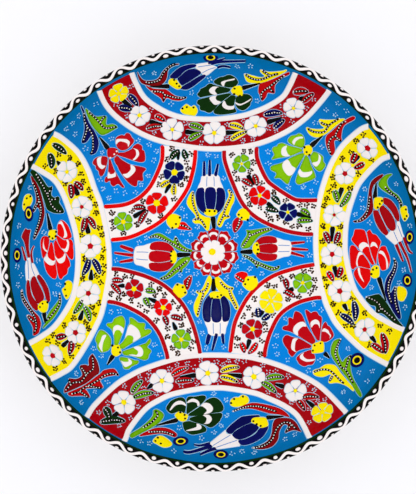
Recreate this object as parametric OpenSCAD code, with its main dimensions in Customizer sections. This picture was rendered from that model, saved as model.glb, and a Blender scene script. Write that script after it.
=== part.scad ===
// Hand painted ceramic dish: a fired clay body with its glaze coats and the painted layers on top.
// Millimetres, +Z up. The origin is on the table, under the middle of the foot ring.
// The ornament is drawn flat, as seen from above, and each shape is cut from a thin coat that
// follows the inside of the dish.

/* [Dish] */
// outside diameter at the lip
dish_d = 300; // [270:1:330]
// thickness of the clay
wall_t = 6; // [5.5:0.5:7]
// diameter of the flat part inside
well_d = 132; // [124:1:140]
// steepness of the wall at the lip, in degrees
lip_slope = 55; // [50:1:58]
// height of the foot ring
foot_h = 6; // [5:0.5:8]
// outside diameter of the foot ring
foot_d = 136; // [128:1:144]
// width of the foot ring on the table
foot_w = 8; // [6:0.5:10]

/* [Coats] */
// thickness of the turquoise coat and of the glaze on the back
coat_t = 0.5; // [0.4:0.05:0.7]
// thickness of one painted layer
paint_t = 0.5; // [0.4:0.05:0.7]
// thickness of the raised white contour lines
contour_t = 0.9; // [0.6:0.05:1.1]

/* [Lines] */
// width of the white contour lines
contour_w = 3.6; // [2.8:0.1:4.2]
// width of the red arcs beside the corner bands
arc_w = 3; // [2.2:0.1:3.6]
// waves around the lip
wave_n = 53; // [40:1:60]
// width of the wave line
wave_w = 1.5; // [1:0.1:1.8]
// how far the wave swings to each side
wave_swing = 1.4; // [1:0.1:1.6]
// width of the green line inside the lip, in degrees of the wall's curve
green_deg = 0.8; // [0.5:0.1:1.2]

/* [Hidden] */
$fn = 96;
well_r = well_d / 2;
lip_r = dish_d / 2;
half_t = wall_t / 2;
wall_rho = (lip_r - half_t - well_r) / sin(lip_slope) - half_t;
floor_z = foot_h + wall_t;
paint_slope = lip_slope - green_deg;
// The ornament is drawn for a dish of this size and wall, and grows with the dish.
drawn_d = 300;
drawn_well_r = 66;
drawn_rho = 95.9;
pattern_k = dish_d / drawn_d;
prism_h = 100;
foot_edge = 0.8;
foot_flare = 1.5;
foot_bite = 0.6;
back_gap = 1;
foot_r = foot_d / 2;
cap_r = well_r + (wall_rho + half_t) * sin(lip_slope);
cap_z = floor_z + wall_rho - (wall_rho + half_t) * cos(lip_slope);
layer_1 = coat_t;
layer_2 = coat_t + paint_t;
layer_3 = coat_t + 2 * paint_t;
layer_4 = coat_t + 3 * paint_t;

turquoise = [0.0, 0.45, 0.75];
crimson = [0.65, 0.03, 0.08];
red = [0.88, 0.04, 0.04];
yellow = [0.98, 0.85, 0.0];
lime = [0.42, 0.68, 0.1];
dark_green = [0.02, 0.22, 0.07];
cobalt = [0.04, 0.07, 0.42];
white = [0.97, 0.95, 0.93];
black = [0.05, 0.05, 0.04];
clay = [0.8, 0.6, 0.45];

// The contour lines of the four lobes, each as points along its middle.
north_outer = [
    [-83, 126], [-81.5, 121], [-77.2, 110], [-67.9, 100.8], [-51, 91], [-30, 84.9], [0, 81.5],
    [30, 84.5], [51, 92], [65.5, 101], [75, 110.5], [82, 119.5], [84, 125]];
north_inner = [
    [-60, 137], [-58.3, 131.5], [-55.5, 124.5], [-50, 116], [-40, 109.5], [-30, 105.3], [-20, 103.3],
    [0, 102.6], [20, 104.7], [30, 107.3], [40, 111], [50, 116.7], [54.5, 123.5], [57.5, 130.5],
    [59.5, 137]];
south_outer = [
    [-92, -116], [-89, -111], [-84.7, -104.7], [-72, -93.3], [-62, -87.3], [-50, -82], [-30, -76],
    [-15, -73.4], [0, -72.9], [15, -73.4], [30, -75], [52, -81.2], [72, -90.3], [82, -97.3],
    [93.5, -109], [97, -113]];
south_inner = [
    [-64, -131], [-62.3, -126.7], [-60, -121.3], [-50, -110], [-40, -104.3], [-30, -100.5], [-10, -97],
    [0, -96.5], [10, -96.7], [30, -99.7], [40, -103.1], [50, -107], [58.7, -112], [63.5, -118],
    [68, -127.5], [69, -131]];
west_outer = [
    [-119, 90], [-114, 88.3], [-108, 85.3], [-98.7, 76.7], [-92.7, 65.3], [-88.5, 52], [-84.3, 40],
    [-80.1, 20], [-78.4, 5], [-78.1, -10], [-79.3, -20], [-83.2, -40], [-87.5, -51], [-94.7, -65.3],
    [-102.7, -78], [-108.7, -82], [-114.7, -84.7], [-119, -86]];
west_inner = [
    [-131, 66.5], [-126, 64], [-116.7, 58], [-112.2, 52], [-107.5, 40], [-102.3, 20], [-100.5, 5],
    [-100.7, -10], [-101.9, -20], [-104.1, -30], [-109, -40], [-115.7, -50], [-123.3, -56],
    [-129.3, -59.5], [-134, -61]];
east_outer = [
    [115, 95], [110, 93.3], [104, 91.3], [94, 82], [87.3, 70.7], [82.3, 56.7], [78.5, 40], [76.7, 20],
    [76.7, 5], [78.1, -10], [82.6, -30], [86.5, -40], [92, -50], [104, -62.7], [110, -67.7],
    [117.3, -72], [123.3, -75], [127, -76.5]];
east_inner = [
    [129, 74.5], [124.3, 72.3], [118.7, 70], [109.3, 59.3], [104.1, 50], [98.7, 30], [97.5, 12],
    [98.3, 0], [102.8, -20], [108.1, -30], [116, -40], [125.3, -46.2], [132, -49.5], [137, -51.5]];

// The red arcs of the four corners, each from the lobe above or below to the lobe beside it.
nw_outer = [
    [-38.2, 84], [-38, 78.5], [-39.2, 70.5], [-46, 55.5], [-52.5, 47.5], [-60, 42.3], [-68.7, 39.3],
    [-82, 38]];
nw_inner = [
    [-13.6, 81], [-14, 73.5], [-16, 62.7], [-20.3, 50.5], [-32, 34.3], [-44, 24.3], [-62, 15.7],
    [-77, 13.4]];
ne_outer = [
    [32.2, 83], [32, 78.7], [33.3, 72], [39.5, 59], [45.5, 53.3], [58.7, 44.7], [65.3, 43], [78, 43]];
ne_inner = [
    [8, 81], [8.5, 72.5], [14, 57], [22, 40.3], [33.3, 29.4], [51, 21.3], [65.3, 18.1], [75, 17.8]];
sw_outer = [
    [-79.6, -32.5], [-72, -33.8], [-62, -37.8], [-49.5, -45.5], [-40.5, -56.8], [-35.4, -70],
    [-34.1, -77]];
sw_inner = [
    [-77, -8.3], [-68.7, -9], [-50.5, -14], [-35.3, -22], [-23, -35], [-16, -49], [-11.4, -64.7],
    [-10, -73]];
se_outer = [[81, -29.8], [75.3, -30], [62, -34], [50, -42.2], [43, -54.5], [39, -66.7], [38, -74.5]];
se_inner = [[76, -5], [62, -7.7], [43.3, -14.3], [28, -26.7], [17.3, -45], [13.8, -60], [12.5, -71]];

// Blossoms as [centre, radius, petals, turn].
white_blossom_list = [
    [[-54.3, 104.4], 8, 5, 60], [[-30.6, 95.2], 8.6, 5, 20], [[0.5, 93], 8.6, 5, 85],
    [[31.2, 97.6], 8.3, 5, 100], [[58, 109], 7.8, 5, 30], [[-65.3, -104.8], 9, 5, 20],
    [[-38.3, -91.2], 8.8, 5, 95], [[-4.3, -86], 8.8, 5, 40], [[30, -88.3], 8.5, 5, 70],
    [[60, -97.3], 8.2, 5, 15], [[-106.7, 62.7], 8.2, 5, 60], [[-97.5, 37.8], 8, 5, 80],
    [[-91.7, 8.7], 8.6, 5, 50], [[-93, -26.3], 9, 5, 100], [[-101.3, -54.7], 8.3, 5, 30],
    [[-115.3, -69.7], 8, 5, 75], [[110, 78.7], 8, 5, 40], [[96.3, 62], 8.2, 5, 10],
    [[89.7, 32], 8.2, 5, 60], [[88.3, 2.7], 8.3, 5, 90], [[93.7, -24.7], 8.6, 5, 30],
    [[110, -52], 8.2, 5, 55]];
yellow_heart_count = 11;
yellow_blossom_list = [
    [[-68, 117.7], 7.8, 5, 100], [[77.7, -110], 8, 5, 20], [[43, -32.2], 9.2, 6, 20]];
blue_blossom_list = [[[-30.7, 64.2], 7.3, 5, 50], [[55.6, 34.2], 7.3, 5, 60]];
red_blossom_list = [[[-42.5, 41], 8.4, 5, 15], [[34.5, 46.6], 7.9, 5, 80], [[-37.7, -37.3], 7, 5, 10]];
lime_blossom_list = [
    [[-67.5, 27], 7.3, 5, 30], [[21, 70.4], 6.9, 5, 60], [[-24.2, -61.2], 7.4, 5, 95],
    [[66.7, -18.7], 7.6, 5, 50]];
crimson_blossom_list = [[[-59.5, -23.2], 7.1, 5, 85], [[29.2, -53.2], 7.8, 5, 35]];

// Small leaves in pairs beside the blossoms, as [stalk end, tip], sorted by colour.
band_leaves_cobalt = [
    [[-61.3, 117.3], [-55.3, 110.7]], [[-68.3, 108.7], [-59.3, 107.7]], [[37.3, 105.3], [50, 106]],
    [[44.7, 96], [52, 101.3]], [[-92.7, -1], [-97.3, -12.7]], [[-90, -1], [-85, -12]],
    [[103.3, -32], [103.7, -46]], [[94, -42], [102.7, -48.7]], [[33, -37.5], [33.2, -44.5]],
    [[42, -42], [36, -46]]];
band_leaves_red = [
    [[-43, 104.3], [-36, 101]], [[-49.3, 95.3], [-37.7, 97.3]], [[57.3, 119.3], [67.3, 118.7]],
    [[64, 112.7], [71.3, 117.3]], [[-31.3, -87.7], [-19, -82]], [[-27.7, -92], [-15, -91.3]],
    [[64.7, -101.7], [76, -100.7]], [[60.7, -103.3], [65.7, -110]], [[102.3, 76], [100.3, 69.3]],
    [[108.7, 68.7], [102.3, 65.7]], [[85, -10.3], [89, -17.3]], [[94.7, -6.7], [92.3, -14.7]],
    [[121, -54], [121.7, -67.3]], [[114, -62], [120.7, -67.3]], [[-59.5, 38.6], [-50.5, 38]],
    [[-55, 26.5], [-51, 34]], [[21, 58.5], [29, 53.5]], [[30, 62.5], [32.5, 54]],
    [[-76, -17], [-67.5, -17.5]], [[-76.5, -19.5], [-69.5, -27.5]], [[20.5, -63.5], [23, -71]],
    [[32.5, -63.5], [26, -71.5]], [[53, -25], [61, -29.5]]];
band_leaves_crimson = [
    [[-105, 54], [-104.7, 44]], [[-102, 55.5], [-96.5, 50]], [[-95.3, 29.7], [-97.7, 19.7]],
    [[-93.7, 30.3], [-88.3, 21.7]], [[-114, -57.7], [-107.3, -57]], [[-104, -60], [-104.7, -69.7]],
    [[82.7, 19.3], [86, 10.7]], [[93, 19.3], [90, 10.7]], [[53, -15.5], [55, -23.5]],
    [[-37.5, -43.5], [-34.5, -50.5]], [[-32, -44], [-23, -46.5]]];
band_leaves_lime = [
    [[-18, 98.7], [-7.3, 95.3]], [[-18.3, 88], [-8.7, 92.7]], [[-60, -98.7], [-52.7, -90.7]],
    [[-58.7, -102], [-44.5, -99.5]], [[39.3, -89.7], [52, -88.3]], [[35.3, -92], [46, -99.3]],
    [[-97, -30.7], [-103, -40.7]], [[-95.7, -36], [-91.7, -46.7]], [[89.3, 50], [91.7, 41.3]],
    [[100.3, 49], [93.7, 38]], [[-51, -24.5], [-43.5, -25.5]], [[-52, -30], [-49, -36]],
    [[66, 36.5], [71, 32.5]], [[63, 28], [73, 28]]];
band_leaves_dark = [
    [[-78.7, -107.3], [-74, -114.7]], [[-80, -116], [-64, -117]], [[-114.3, 81], [-106.5, 75.3]],
    [[-116.7, 74.7], [-116.7, 64.7]], [[-31, 78], [-31.5, 73]], [[-22, 79], [-23, 72]],
    [[44, 44.5], [49, 39.5]], [[39.5, 36], [48.5, 35]]];
band_leaves_yellow = [
    [[11.7, 98.7], [22, 95.7]], [[13, 88], [24.7, 93.7]], [[5.7, -84.7], [19, -81.7]],
    [[5.3, -88.7], [17.7, -92.3]], [[-40, 52], [-33, 56.5]], [[-29, 56], [-29, 49]]];

// Black stems, as [narrow end, wide end].
band_stems = [
    [[-59.3, 110], [-66, 114]], [[-37.3, 98.7], [-47.3, 100.3]], [[-10, 93], [-21.3, 93.7]],
    [[19.3, 93.7], [8.7, 93]], [[50, 103], [39.3, 100]], [[66.3, 116], [61.3, 114.3]],
    [[-73, -113], [-68.5, -111.5]], [[-49, -96.5], [-45, -93.5]], [[-25.3, -88.7], [-13, -87.5]],
    [[10.7, -86.7], [21.5, -88.3]], [[45.3, -93.3], [52, -95]], [[67, -103.3], [72.5, -107.2]],
    [[-112.7, 70], [-110.3, 66.5]], [[-102, 54], [-100, 46]], [[-94.7, 28], [-93, 18]],
    [[-91, -8.7], [-91.3, -16.7]], [[-96.7, -38.7], [-98.7, -46]], [[-105.3, -59.3], [-109.8, -64]],
    [[101.3, 68.7], [104.7, 74.3]], [[92.7, 43.3], [94.7, 52]], [[88, 12], [88.7, 23.3]],
    [[91.3, -14.3], [90, -6]], [[98.7, -39.3], [96.3, -34]], [[116.7, -60.7], [113.7, -56.3]],
    [[-34, 55], [-34.5, 50]], [[-51.8, 35], [-59, 31]], [[30.5, 54.5], [25.5, 62]],
    [[45, 38], [40, 41]], [[72, 30.7], [62.7, 32.3]], [[-72, -21], [-66.5, -20.8]],
    [[-49, -30], [-42.8, -33]], [[-30.5, -48], [-28, -54]], [[52, -26.5], [60, -23]],
    [[34.5, -44.5], [37, -39.5]], [[25, -68.5], [27, -61]], [[-26.5, 73], [-26.5, 80]]];
ground_stems = [
    [[0.5, 21.5], [-0.5, 31]], [[0, -15.5], [0, -25]], [[20, 4.3], [29.3, 4.7]],
    [[-17.3, 2.5], [-27.5, 2]], [[-83.3, 88.7], [-76.5, 80]], [[80.7, 89.7], [71.5, 81]],
    [[-78.3, -78.7], [-74.3, -71.5]], [[86, -74], [79.5, -69]], [[32.7, 125.7], [20, 123]],
    [[-41, -121.3], [-27.5, -117.5]], [[-121, 33], [-118.6, 20]], [[123.7, -30], [119.2, -14]],
    [[-46.5, 123.5], [-31.5, 124.5]], [[50, -114.5], [38, -116.7]], [[-122.7, -46.5], [-123, -38.5]],
    [[119.5, 55], [117.4, 44]]];

// Yellow calyxes under the flowers, as [centre, reach along x, reach along y].
calyx_list = [
    [[-2.1, 34], 5.5, 3.2], [[1.9, -27.9], 5.8, 3.2], [[32, 7], 3.2, 5], [[-30, 0.7], 2.9, 5.6],
    [[69.7, 79.7], 3.6, 4], [[-72.3, -68.7], 3.8, 4.6], [[77.3, -66.3], 4.4, 4.4],
    [[17, 121.7], 4.4, 3.5], [[-23.5, -116], 4.8, 3.2], [[-117.7, 17], 3.1, 4.2],
    [[118, -10.3], 3, 4.6], [[-28, 125.7], 4.6, 3.2], [[33.3, -119.2], 6.2, 3.3],
    [[-123.3, -35], 3.5, 4.6], [[119.3, 39.7], 3.1, 5]];

// Yellow berries, as [centre, reach along x, reach along y].
berry_list = [
    [[-18, 108.7], 6.4, 4.2], [[19.3, -105.7], 7, 4.3], [[-36.7, -130.6], 7, 3.4],
    [[-132.7, 40], 2.9, 6], [[-107.7, -23.3], 3.8, 7], [[135.3, 32.3], 2.5, 5.4],
    [[134.3, -25.3], 3, 5.4], [[-30, 27.7], 5.8, 5.8], [[22.7, 32.7], 5.2, 5], [[28, -19.3], 6, 6],
    [[-25.7, -25], 5.6, 5.8]];

// Eyes, as [centre, reach along x, reach along y].
eye_list = [
    [[-2.3, 142], 4.7, 2.3], [[-23.7, -131.3], 5, 2.6], [[5, -139.3], 4.7, 2.3],
    [[-132.3, 32], 2.4, 5.1], [[-139.7, 2.3], 2.1, 4.8], [[139, 15], 2.3, 4.5],
    [[137.7, -15.7], 2.5, 4.3], [[103.7, -73.7], 3.9, 4.1]];

// Long leaves as [points along the middle, widest width], sorted by colour.
leaves_yellow = [
    [[[-4.5, 20.5], [-7, 28], [-13, 34], [-16, 41], [-15, 51]], 6.5],
    [[[-8, 28.5], [-12, 27.3], [-15.5, 27.5]], 3],
    [[[3.5, 22.5], [5, 29], [8.5, 35], [12.3, 43], [13.8, 52]], 5.5],
    [[[6, 30], [9, 31], [12, 30.3]], 2.4],
    [[[-2.5, -14], [-5, -20.5], [-9, -28], [-12.5, -36], [-12, -44]], 5],
    [[[-6, -23], [-9.5, -25], [-13, -24.8]], 2.4],
    [[[5.5, -14.5], [8, -20], [12.5, -26], [16, -33], [18, -38.5]], 5.5],
    [[[10, -22], [13, -22.2], [16, -22.5]], 2.4],
    [[[94.7, 99.3], [88, 94.7], [80.7, 90.6], [73.3, 91], [68.2, 95.2]], 5],
    [[[86, 96], [81, 98.5], [76.5, 100.7]], 3],
    [[[99.7, -94.7], [93.3, -88], [87.3, -81.5], [80.7, -81.3], [73.2, -84.3]], 5.5],
    [[[90, -86], [87, -88.5], [84, -90.5]], 3],
    [[[51, 131], [40, 128.4], [31, 127.8], [21.5, 132.8]], 3.6],
    [[[47, 132], [42, 131.2], [33, 134.5]], 2.4]];
leaves_lime = [
    [[[20.5, 10], [25, 13], [30, 17.5], [36, 20.3], [44, 21.5]], 4.6],
    [[[27.5, 15], [26.8, 18], [25.5, 21]], 2.6],
    [[[21.5, 1.8], [27, -0.5], [33, -5], [40, -8], [49, -6.5]], 4],
    [[[30, -3], [31.5, -5], [32.3, -8]], 2],
    [[[-17, 5.5], [-24, 8.5], [-31, 12.5], [-39, 16.5], [-48.5, 14.5]], 4.2],
    [[[-27, 9], [-28.2, 12.5], [-28.6, 16.5]], 2.4],
    [[[-17.5, -1.5], [-24, -5], [-30, -10.5], [-35, -15], [-41, -15.2]], 4.6],
    [[[-26, -6.5], [-25, -9], [-24, -11.5]], 2],
    [[[-91, 106.5], [-87, 96.5], [-82, 91.8], [-76.7, 93], [-70.3, 95.7]], 5.5],
    [[[-84, 96], [-80.5, 99.5], [-77.8, 103]], 3.4],
    [[[104.3, -97.8], [98.7, -89.3], [93.3, -81], [88.4, -73], [88, -66], [93, -59.5]], 5],
    [[[95.5, -82], [96.5, -76], [99.6, -70]], 3],
    [[[-59, -127], [-50, -123], [-42, -118.5], [-39.3, -114.3], [-43.5, -111]], 4.6],
    [[[-120.7, -50], [-115.5, -43.5], [-112.6, -35], [-113.5, -25]], 3.6],
    [[[125, 60.5], [122.7, 54], [125.5, 47.5], [130.5, 43], [133.8, 36.5]], 3.6]];
leaves_crimson = [
    [[[-50.5, 125.6], [-39.3, 127.5], [-35, 134], [-28, 137.4], [-21, 138.4]], 3.2],
    [[[-105.5, -95], [-98.5, -91.5], [-90.5, -86], [-87, -80], [-89.2, -70]], 8],
    [[[-92, -86], [-94, -81.5], [-97.2, -78]], 5], [[[-97.5, -90], [-100, -88], [-103.8, -86]], 4],
    [[[-129, 58], [-126, 48], [-123.6, 36.7], [-124.8, 24.7], [-129.2, 13.6]], 4],
    [[[-125.5, 41], [-127.5, 37], [-129.5, 33.5]], 2.4],
    [[[-125.8, -51], [-127, -44], [-131.8, -36.5], [-135.6, -30], [-137, -22.5]], 3],
    [[[-127.5, -46.5], [-130, -44], [-133, -40.5]], 2.4],
    [[[120.7, 60.5], [115, 53], [113.8, 44], [112.5, 34.5], [108, 28.5], [102.5, 26.7]], 3.8],
    [[[62, -121.5], [53, -117.8], [46.5, -121], [43.5, -128], [37, -132.8], [28, -135.5]], 3.4],
    [[[15.5, 19], [17, 24.5], [20, 30]], 6], [[[-17, -12.8], [-19, -18], [-20.8, -23.6]], 5.6]];
leaves_red = [
    [[[-49.5, 123.5], [-41, 120], [-33, 119.3], [-26.5, 117.2], [-18.5, 118]], 3.4],
    [[[-40, 120], [-38, 117], [-36.8, 114]], 3],
    [[[53, 131], [43.5, 125.6], [36, 123], [34, 119.5], [35.2, 114.6]], 4.4],
    [[[41, 124.5], [42.3, 122], [43.6, 119.6]], 3],
    [[[100, 100.4], [92, 95], [86, 90], [84.6, 84], [86, 75.7]], 5.5],
    [[[89, 91], [90.5, 88], [92.3, 85]], 4],
    [[[-102.8, -96], [-93.3, -93], [-85.3, -87.5], [-78.7, -83], [-72.7, -83], [-69.5, -87]], 3.6],
    [[[-88, -90], [-84.5, -92.5], [-80.5, -95]], 3], [[[-97, -95.4], [-93, -97.3], [-89, -100.3]], 3],
    [[[-52, -125.6], [-40, -123.8], [-32, -125], [-26.5, -127.6]], 3.2],
    [[[56, -113.5], [45, -111.3], [36, -109], [25, -108.6], [14, -112.6]], 3.4],
    [[[-16.5, 21.2], [-20.5, 23.5], [-25, 25]], 5], [[[15.6, -12.3], [20, -14.5], [24.5, -16.5]], 6]];
leaves_dark_green = [
    [[[-128.8, 62.5], [-124, 55.3], [-119.8, 46], [-116.5, 38], [-109, 33]], 6.5],
    [[[-118, 43], [-115.5, 43], [-113, 44.4]], 3.4],
    [[[133.4, -49], [126.7, -41.5], [121, -35.5], [117, -30.5], [111.5, -28.5]], 5],
    [[[122.5, -38], [120.5, -38.5], [118.4, -39.6]], 2.6]];
leaves_cobalt = [
    [[[-93.8, 108.5], [-92.2, 101], [-90.3, 94.5], [-87.2, 88.5], [-87, 81], [-90.5, 75.7]], 4],
    [[[-91.5, 95], [-93, 89.5], [-95.2, 83.7]], 3.2],
    [[[132.3, -43.5], [128.5, -34], [126, -23], [129, -12.5], [130.8, -2]], 3.6],
    [[[129.5, -32], [129.5, -26.5], [130.8, -21]], 2.4]];

// Tulips as [points along the middle from the calyx to the tips, widest width].
tulips_cobalt = [
    [[[-2.1, 33], [-2.3, 48], [-2.3, 61], [-2.4, 73.6]], 21.6],
    [[[2, -27], [2.2, -43], [2.5, -57], [2.3, -70]], 20.3],
    [[[-29, 125], [-17, 131], [-4, 136], [20, 140.4]], 13.5],
    [[[34, -119], [22, -125.5], [5, -132.5], [-20, -138]], 14]];
tulips_crimson = [
    [[[31, 7], [43, 7], [57, 7], [71, 6.4]], 18.3], [[[-29, 1], [-43, 1], [-58, 1.8], [-73, 2.6]], 22],
    [[[-123, -36], [-127.5, -22], [-131.8, -5], [-134, 21]], 13],
    [[[118.8, 41], [125.5, 26], [132, 12], [140, -7]], 14.5]];

// Carnations as [fan origin, [[direction, length, width] for each petal]].
carnations_crimson = [
    [[-75, 77], [[43, 18.5, 13], [-4, 25, 14], [-43, 32, 17], [-83, 24.5, 12.5], [-133, 18, 14]]],
    [[78, -65.5], [[57, 17, 12], [100, 26, 12], [134, 30.5, 15], [171, 27, 15], [219, 18, 13]]]];
carnations_lime = [
    [[70, 79], [[146, 18, 12], [183, 25, 13], [217, 29, 13], [258, 25, 16], [312, 17, 13]]],
    [[-72, -68], [[142, 16, 12], [98, 24, 12], [55, 31, 15], [10, 29, 13], [-36, 19, 11]]]];
carnations_red = [
    [[-117.5, 14], [[52, 17.5, 10], [-28, 17, 13], [-72, 29, 10], [-96, 30, 9.5], [-126, 15.5, 8]]],
    [[117.3, -7.5], [[222, 17, 11], [142, 21, 12], [112, 31, 10.5], [88, 29, 9], [52, 16.5, 9]]]];
carnations_dark_green = [
    [[15.5, 121], [[141, 17, 9], [177, 28, 11], [202, 28.5, 11], [240, 18, 12], [318, 16, 9]]],
    [[-19.5, -115.8], [[141, 17, 10], [61, 16, 13], [23, 29, 12], [-5, 27, 11], [-52, 15.5, 11]]]];

// Rosette in the middle of the dish.
rosette_c = [0.5, 3.7];
rosette_r = 18.8;
rosette_turns = [93, 58.7, 20, -12, -51, -85, -116, -143, -170, 158, 124];
rosette_flower_c = [-0.4, 4];
rosette_flower_r = 9.3;
rosette_heart_r = 2.8;
rosette_flower_petals = 7;

// Proportions of the painted shapes.
petal_reach = 0.56;
petal_size = 0.45;
petal_core = 0.45;
fan_neck = 0.72;
crescent_at = 0.4;
crescent_far = [0.28, 0.36];
crescent_near = [0.13, 0.27];
tulip_mid = [[0.03, 0.04], [0.1, 0.1], [0.22, 0.155], [0.34, 0.18], [0.43, 0.14], [0.475, 0.04]];
tulip_side = [
    [0.03, 0.14], [0.12, 0.14], [0.22, 0.19], [0.34, 0.215], [0.44, 0.2], [0.48, 0.27], [0.475, 0.34],
    [0.42, 0.43], [0.33, 0.485], [0.22, 0.48], [0.12, 0.4], [0.05, 0.25]];
tulip_flank = [[0.36, 0.44], [0.5, 0.42], [0.62, 0.33], [0.7, 0.29]];
tulip_throat = [[0.02, 0.1], [0.4, 0.3]];
tip_from = 0.705;
tip_gap = 0.2;
tip_flare = 0.12;
tip_step = 0.02;
rosette_lobe = [0.71, 0.29];
rosette_arc_out = [0.64, 0.205];
rosette_arc_in = [0.58, 0.205];
flower_core = 0.7;
flower_petal = [0.56, 0.44];
flower_turn = 20;
heart_r = 1.9;
band_leaf_w = 4.2;
band_stem_w = 3;
ground_stem_w = 4.2;
stem_tip = 0.3;
scallop = 0.07;
scallop_waves = 5;
eye_ring = 0.66;
eye_pupil = 0.36;
dot_in_r = 1.2;
dot_out_r = 0.75;
wave_out = 0.4;
dot_in_gap = 0.2;
dot_out_gap = 0.3;
dots_in_r = cap_r + wave_out - wave_swing - dot_in_gap;
dots_out_r = cap_r + wave_out + wave_swing + dot_out_gap;
back_from = 5;
wave_steps = 6;
oval_step = 18;
curve_steps = 4;
leaf_steps = 3;

function knot(p, i) = p[max(0, min(len(p) - 1, i))];
function left_of(v) = [-v[1], v[0]] / norm(v);
function turn(v, a) = [v[0] * cos(a) - v[1] * sin(a), v[0] * sin(a) + v[1] * cos(a)];
function reversed(p) = [for (i = [len(p) - 1:-1:0]) p[i]];

// A smooth curve through points: four neighbours shape each stretch.
function stretch(a, b, c, d, u) =
    (2 * b + (c - a) * u + (2 * a - 5 * b + 4 * c - d) * u * u + (3 * b - a - 3 * c + d) * u * u * u) / 2;
function curve(p, n) = concat(
    [for (i = [0:len(p) - 2], j = [0:n - 1])
        stretch(knot(p, i - 1), p[i], p[i + 1], knot(p, i + 2), j / n)],
    [p[len(p) - 1]]);
function normal_at(c, i) = left_of(knot(c, i + 1) - knot(c, i - 1));
function beside(c, w) = [for (i = [0:len(c) - 1]) c[i] + normal_at(c, i) * w];
function leaf_half(u) = sin(180 * pow(u, 0.85)) / 2;
function leaf_side(c, w) =
    [for (i = [1:len(c) - 2]) c[i] + normal_at(c, i) * w * leaf_half(i / (len(c) - 1))];
function on_curve(c, u) =
    let (s = min(len(c) - 1.001, u * (len(c) - 1)), i = floor(s)) c[i] + (c[i + 1] - c[i]) * (s - i);
function heading(c, u) = on_curve(c, min(1, u + 0.05)) - on_curve(c, max(0, u - 0.05));
function along(c, u, v) = on_curve(c, u) + left_of(heading(c, u)) * v;

// How much a step up the wall shortens when seen from above.
function lean(p) = norm(p) < drawn_well_r ? 1 : sqrt(1 - pow((norm(p) - drawn_well_r) / drawn_rho, 2));
function seen(p, v) = norm(p) < 1 ? v : v - (1 - lean(p)) * (v * p) / (p * p) * p;

// Part of the wall's ring between two slopes, for the profile.
module wall_wedge(a, b) {
    reach = 3 * wall_rho;
    polygon([[0, 0], [sin(a), -cos(a)] * reach, [sin(b), -cos(b)] * reach]);
}

module wall_profile(near, far, a, b) {
    translate([well_r, floor_z + wall_rho])
        intersection() {
            difference() {
                circle(wall_rho - near);
                circle(wall_rho - far);
            }
            wall_wedge(a, b);
        }
}

// A coat on the inside of the dish, between two heights over the clay.
module inside_coat(near, far) {
    rotate_extrude() {
        translate([0, floor_z + near]) square([well_r, far - near]);
        wall_profile(near, far, 0, paint_slope);
    }
}

// Half of a ring around the lip's own middle, for the profile.
module lip_profile(near, far) {
    translate([cap_r, cap_z])
        rotate(lip_slope)
            intersection() {
                rotate(180)
                    difference() {
                        circle(half_t + far);
                        circle(half_t + near);
                    }
                translate([0, -2 * wall_t]) square([2 * wall_t, 4 * wall_t]);
            }
}

// Cuts flat shapes out of a coat inside the dish.
module painted(near, far) {
    intersection() {
        inside_coat(near, far);
        linear_extrude(prism_h) scale(pattern_k) children();
    }
}

// Cuts flat shapes out of the upper side of a coat on the lip.
module on_lip(near, far) {
    intersection() {
        rotate_extrude() lip_profile(near, far);
        translate([0, 0, cap_z]) linear_extrude(prism_h) children();
    }
}

module ribbon(p, w) {
    c = curve(p, curve_steps);
    polygon(concat(beside(c, w / 2), reversed(beside(c, -w / 2))));
}

module between(p, q) {
    polygon(concat(curve(p, curve_steps), reversed(curve(q, curve_steps))));
}

module leaf(p, w) {
    c = curve(p, leaf_steps);
    polygon(concat([p[0]], leaf_side(c, w), [p[len(p) - 1]], reversed(leaf_side(c, -w))));
}

// A pointed leaf of two arcs between two points.
module lens(p, q, w) {
    chord = norm(q - p);
    r = (chord * chord / 4 + w * w / 4) / w;
    to_middle = left_of(q - p) * (r - w / 2);
    intersection() {
        translate((p + q) / 2 + to_middle) circle(r);
        translate((p + q) / 2 - to_middle) circle(r);
    }
}

module stem(p, q, w) {
    side = left_of(q - p) * w / 2;
    polygon([p + side * stem_tip, q + side, q - side, p - side * stem_tip]);
}

module blossom(c, r, n, a) {
    translate(c) circle(r * petal_core);
    for (i = [0:n - 1])
        translate(c + seen(c, turn([r * petal_reach, 0], a + i * 360 / n)))
            circle(r * petal_size * (1 + lean(c)) / 2);
}

module oval(c, x, y) {
    polygon([for (t = [0:oval_step:359]) c + [x * cos(t), y * sin(t)]]);
}

module calyx(e) {
    oval(e[0], e[1], e[2]);
}

// One petal of a carnation: narrow at the origin, scalloped at the end.
module fan_petal(o, a, l, w) {
    neck = fan_neck * l;
    flank = [for (u = [0.2, 0.5, 0.8]) [neck * u, w / 2 * sin(90 * u)]];
    end = [for (t = [90:-15:-90]) let (m = 1 - scallop / 2 + scallop / 2 * cos(scallop_waves * 2 * t))
        [neck + (l - neck) * cos(t) * m, w / 2 * sin(t) * m]];
    flank_back = [for (p = reversed(flank)) [p[0], -p[1]]];
    translate(o) rotate(a) polygon(concat([[0, 0]], flank, end, flank_back));
}

// The white crescent across a carnation petal.
module fan_crescent(o, a, l, w) {
    at = crescent_at * l;
    far = [for (t = [80:-20:-80]) [at + crescent_far[0] * l * cos(t), crescent_far[1] * w * sin(t)]];
    near = [for (t = [-80:20:80]) [at + crescent_near[0] * l * cos(t), crescent_near[1] * w * sin(t)]];
    translate(o) rotate(a) polygon(concat(far, near));
}

module carnation(f) {
    for (p = f[1]) fan_petal(f[0], p[0], p[1], p[2]);
}

module crescents(f) {
    for (p = f[1]) fan_crescent(f[0], p[0], p[1], p[2]);
}

// A shape given as [share of the length, share of the width] along a flower's curve.
module outline(c, w, shape) {
    polygon([for (e = shape) along(c, e[0], e[1] * w)]);
}

function other_side(shape) = [for (e = reversed(shape)) [e[0], -e[1]]];

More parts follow.
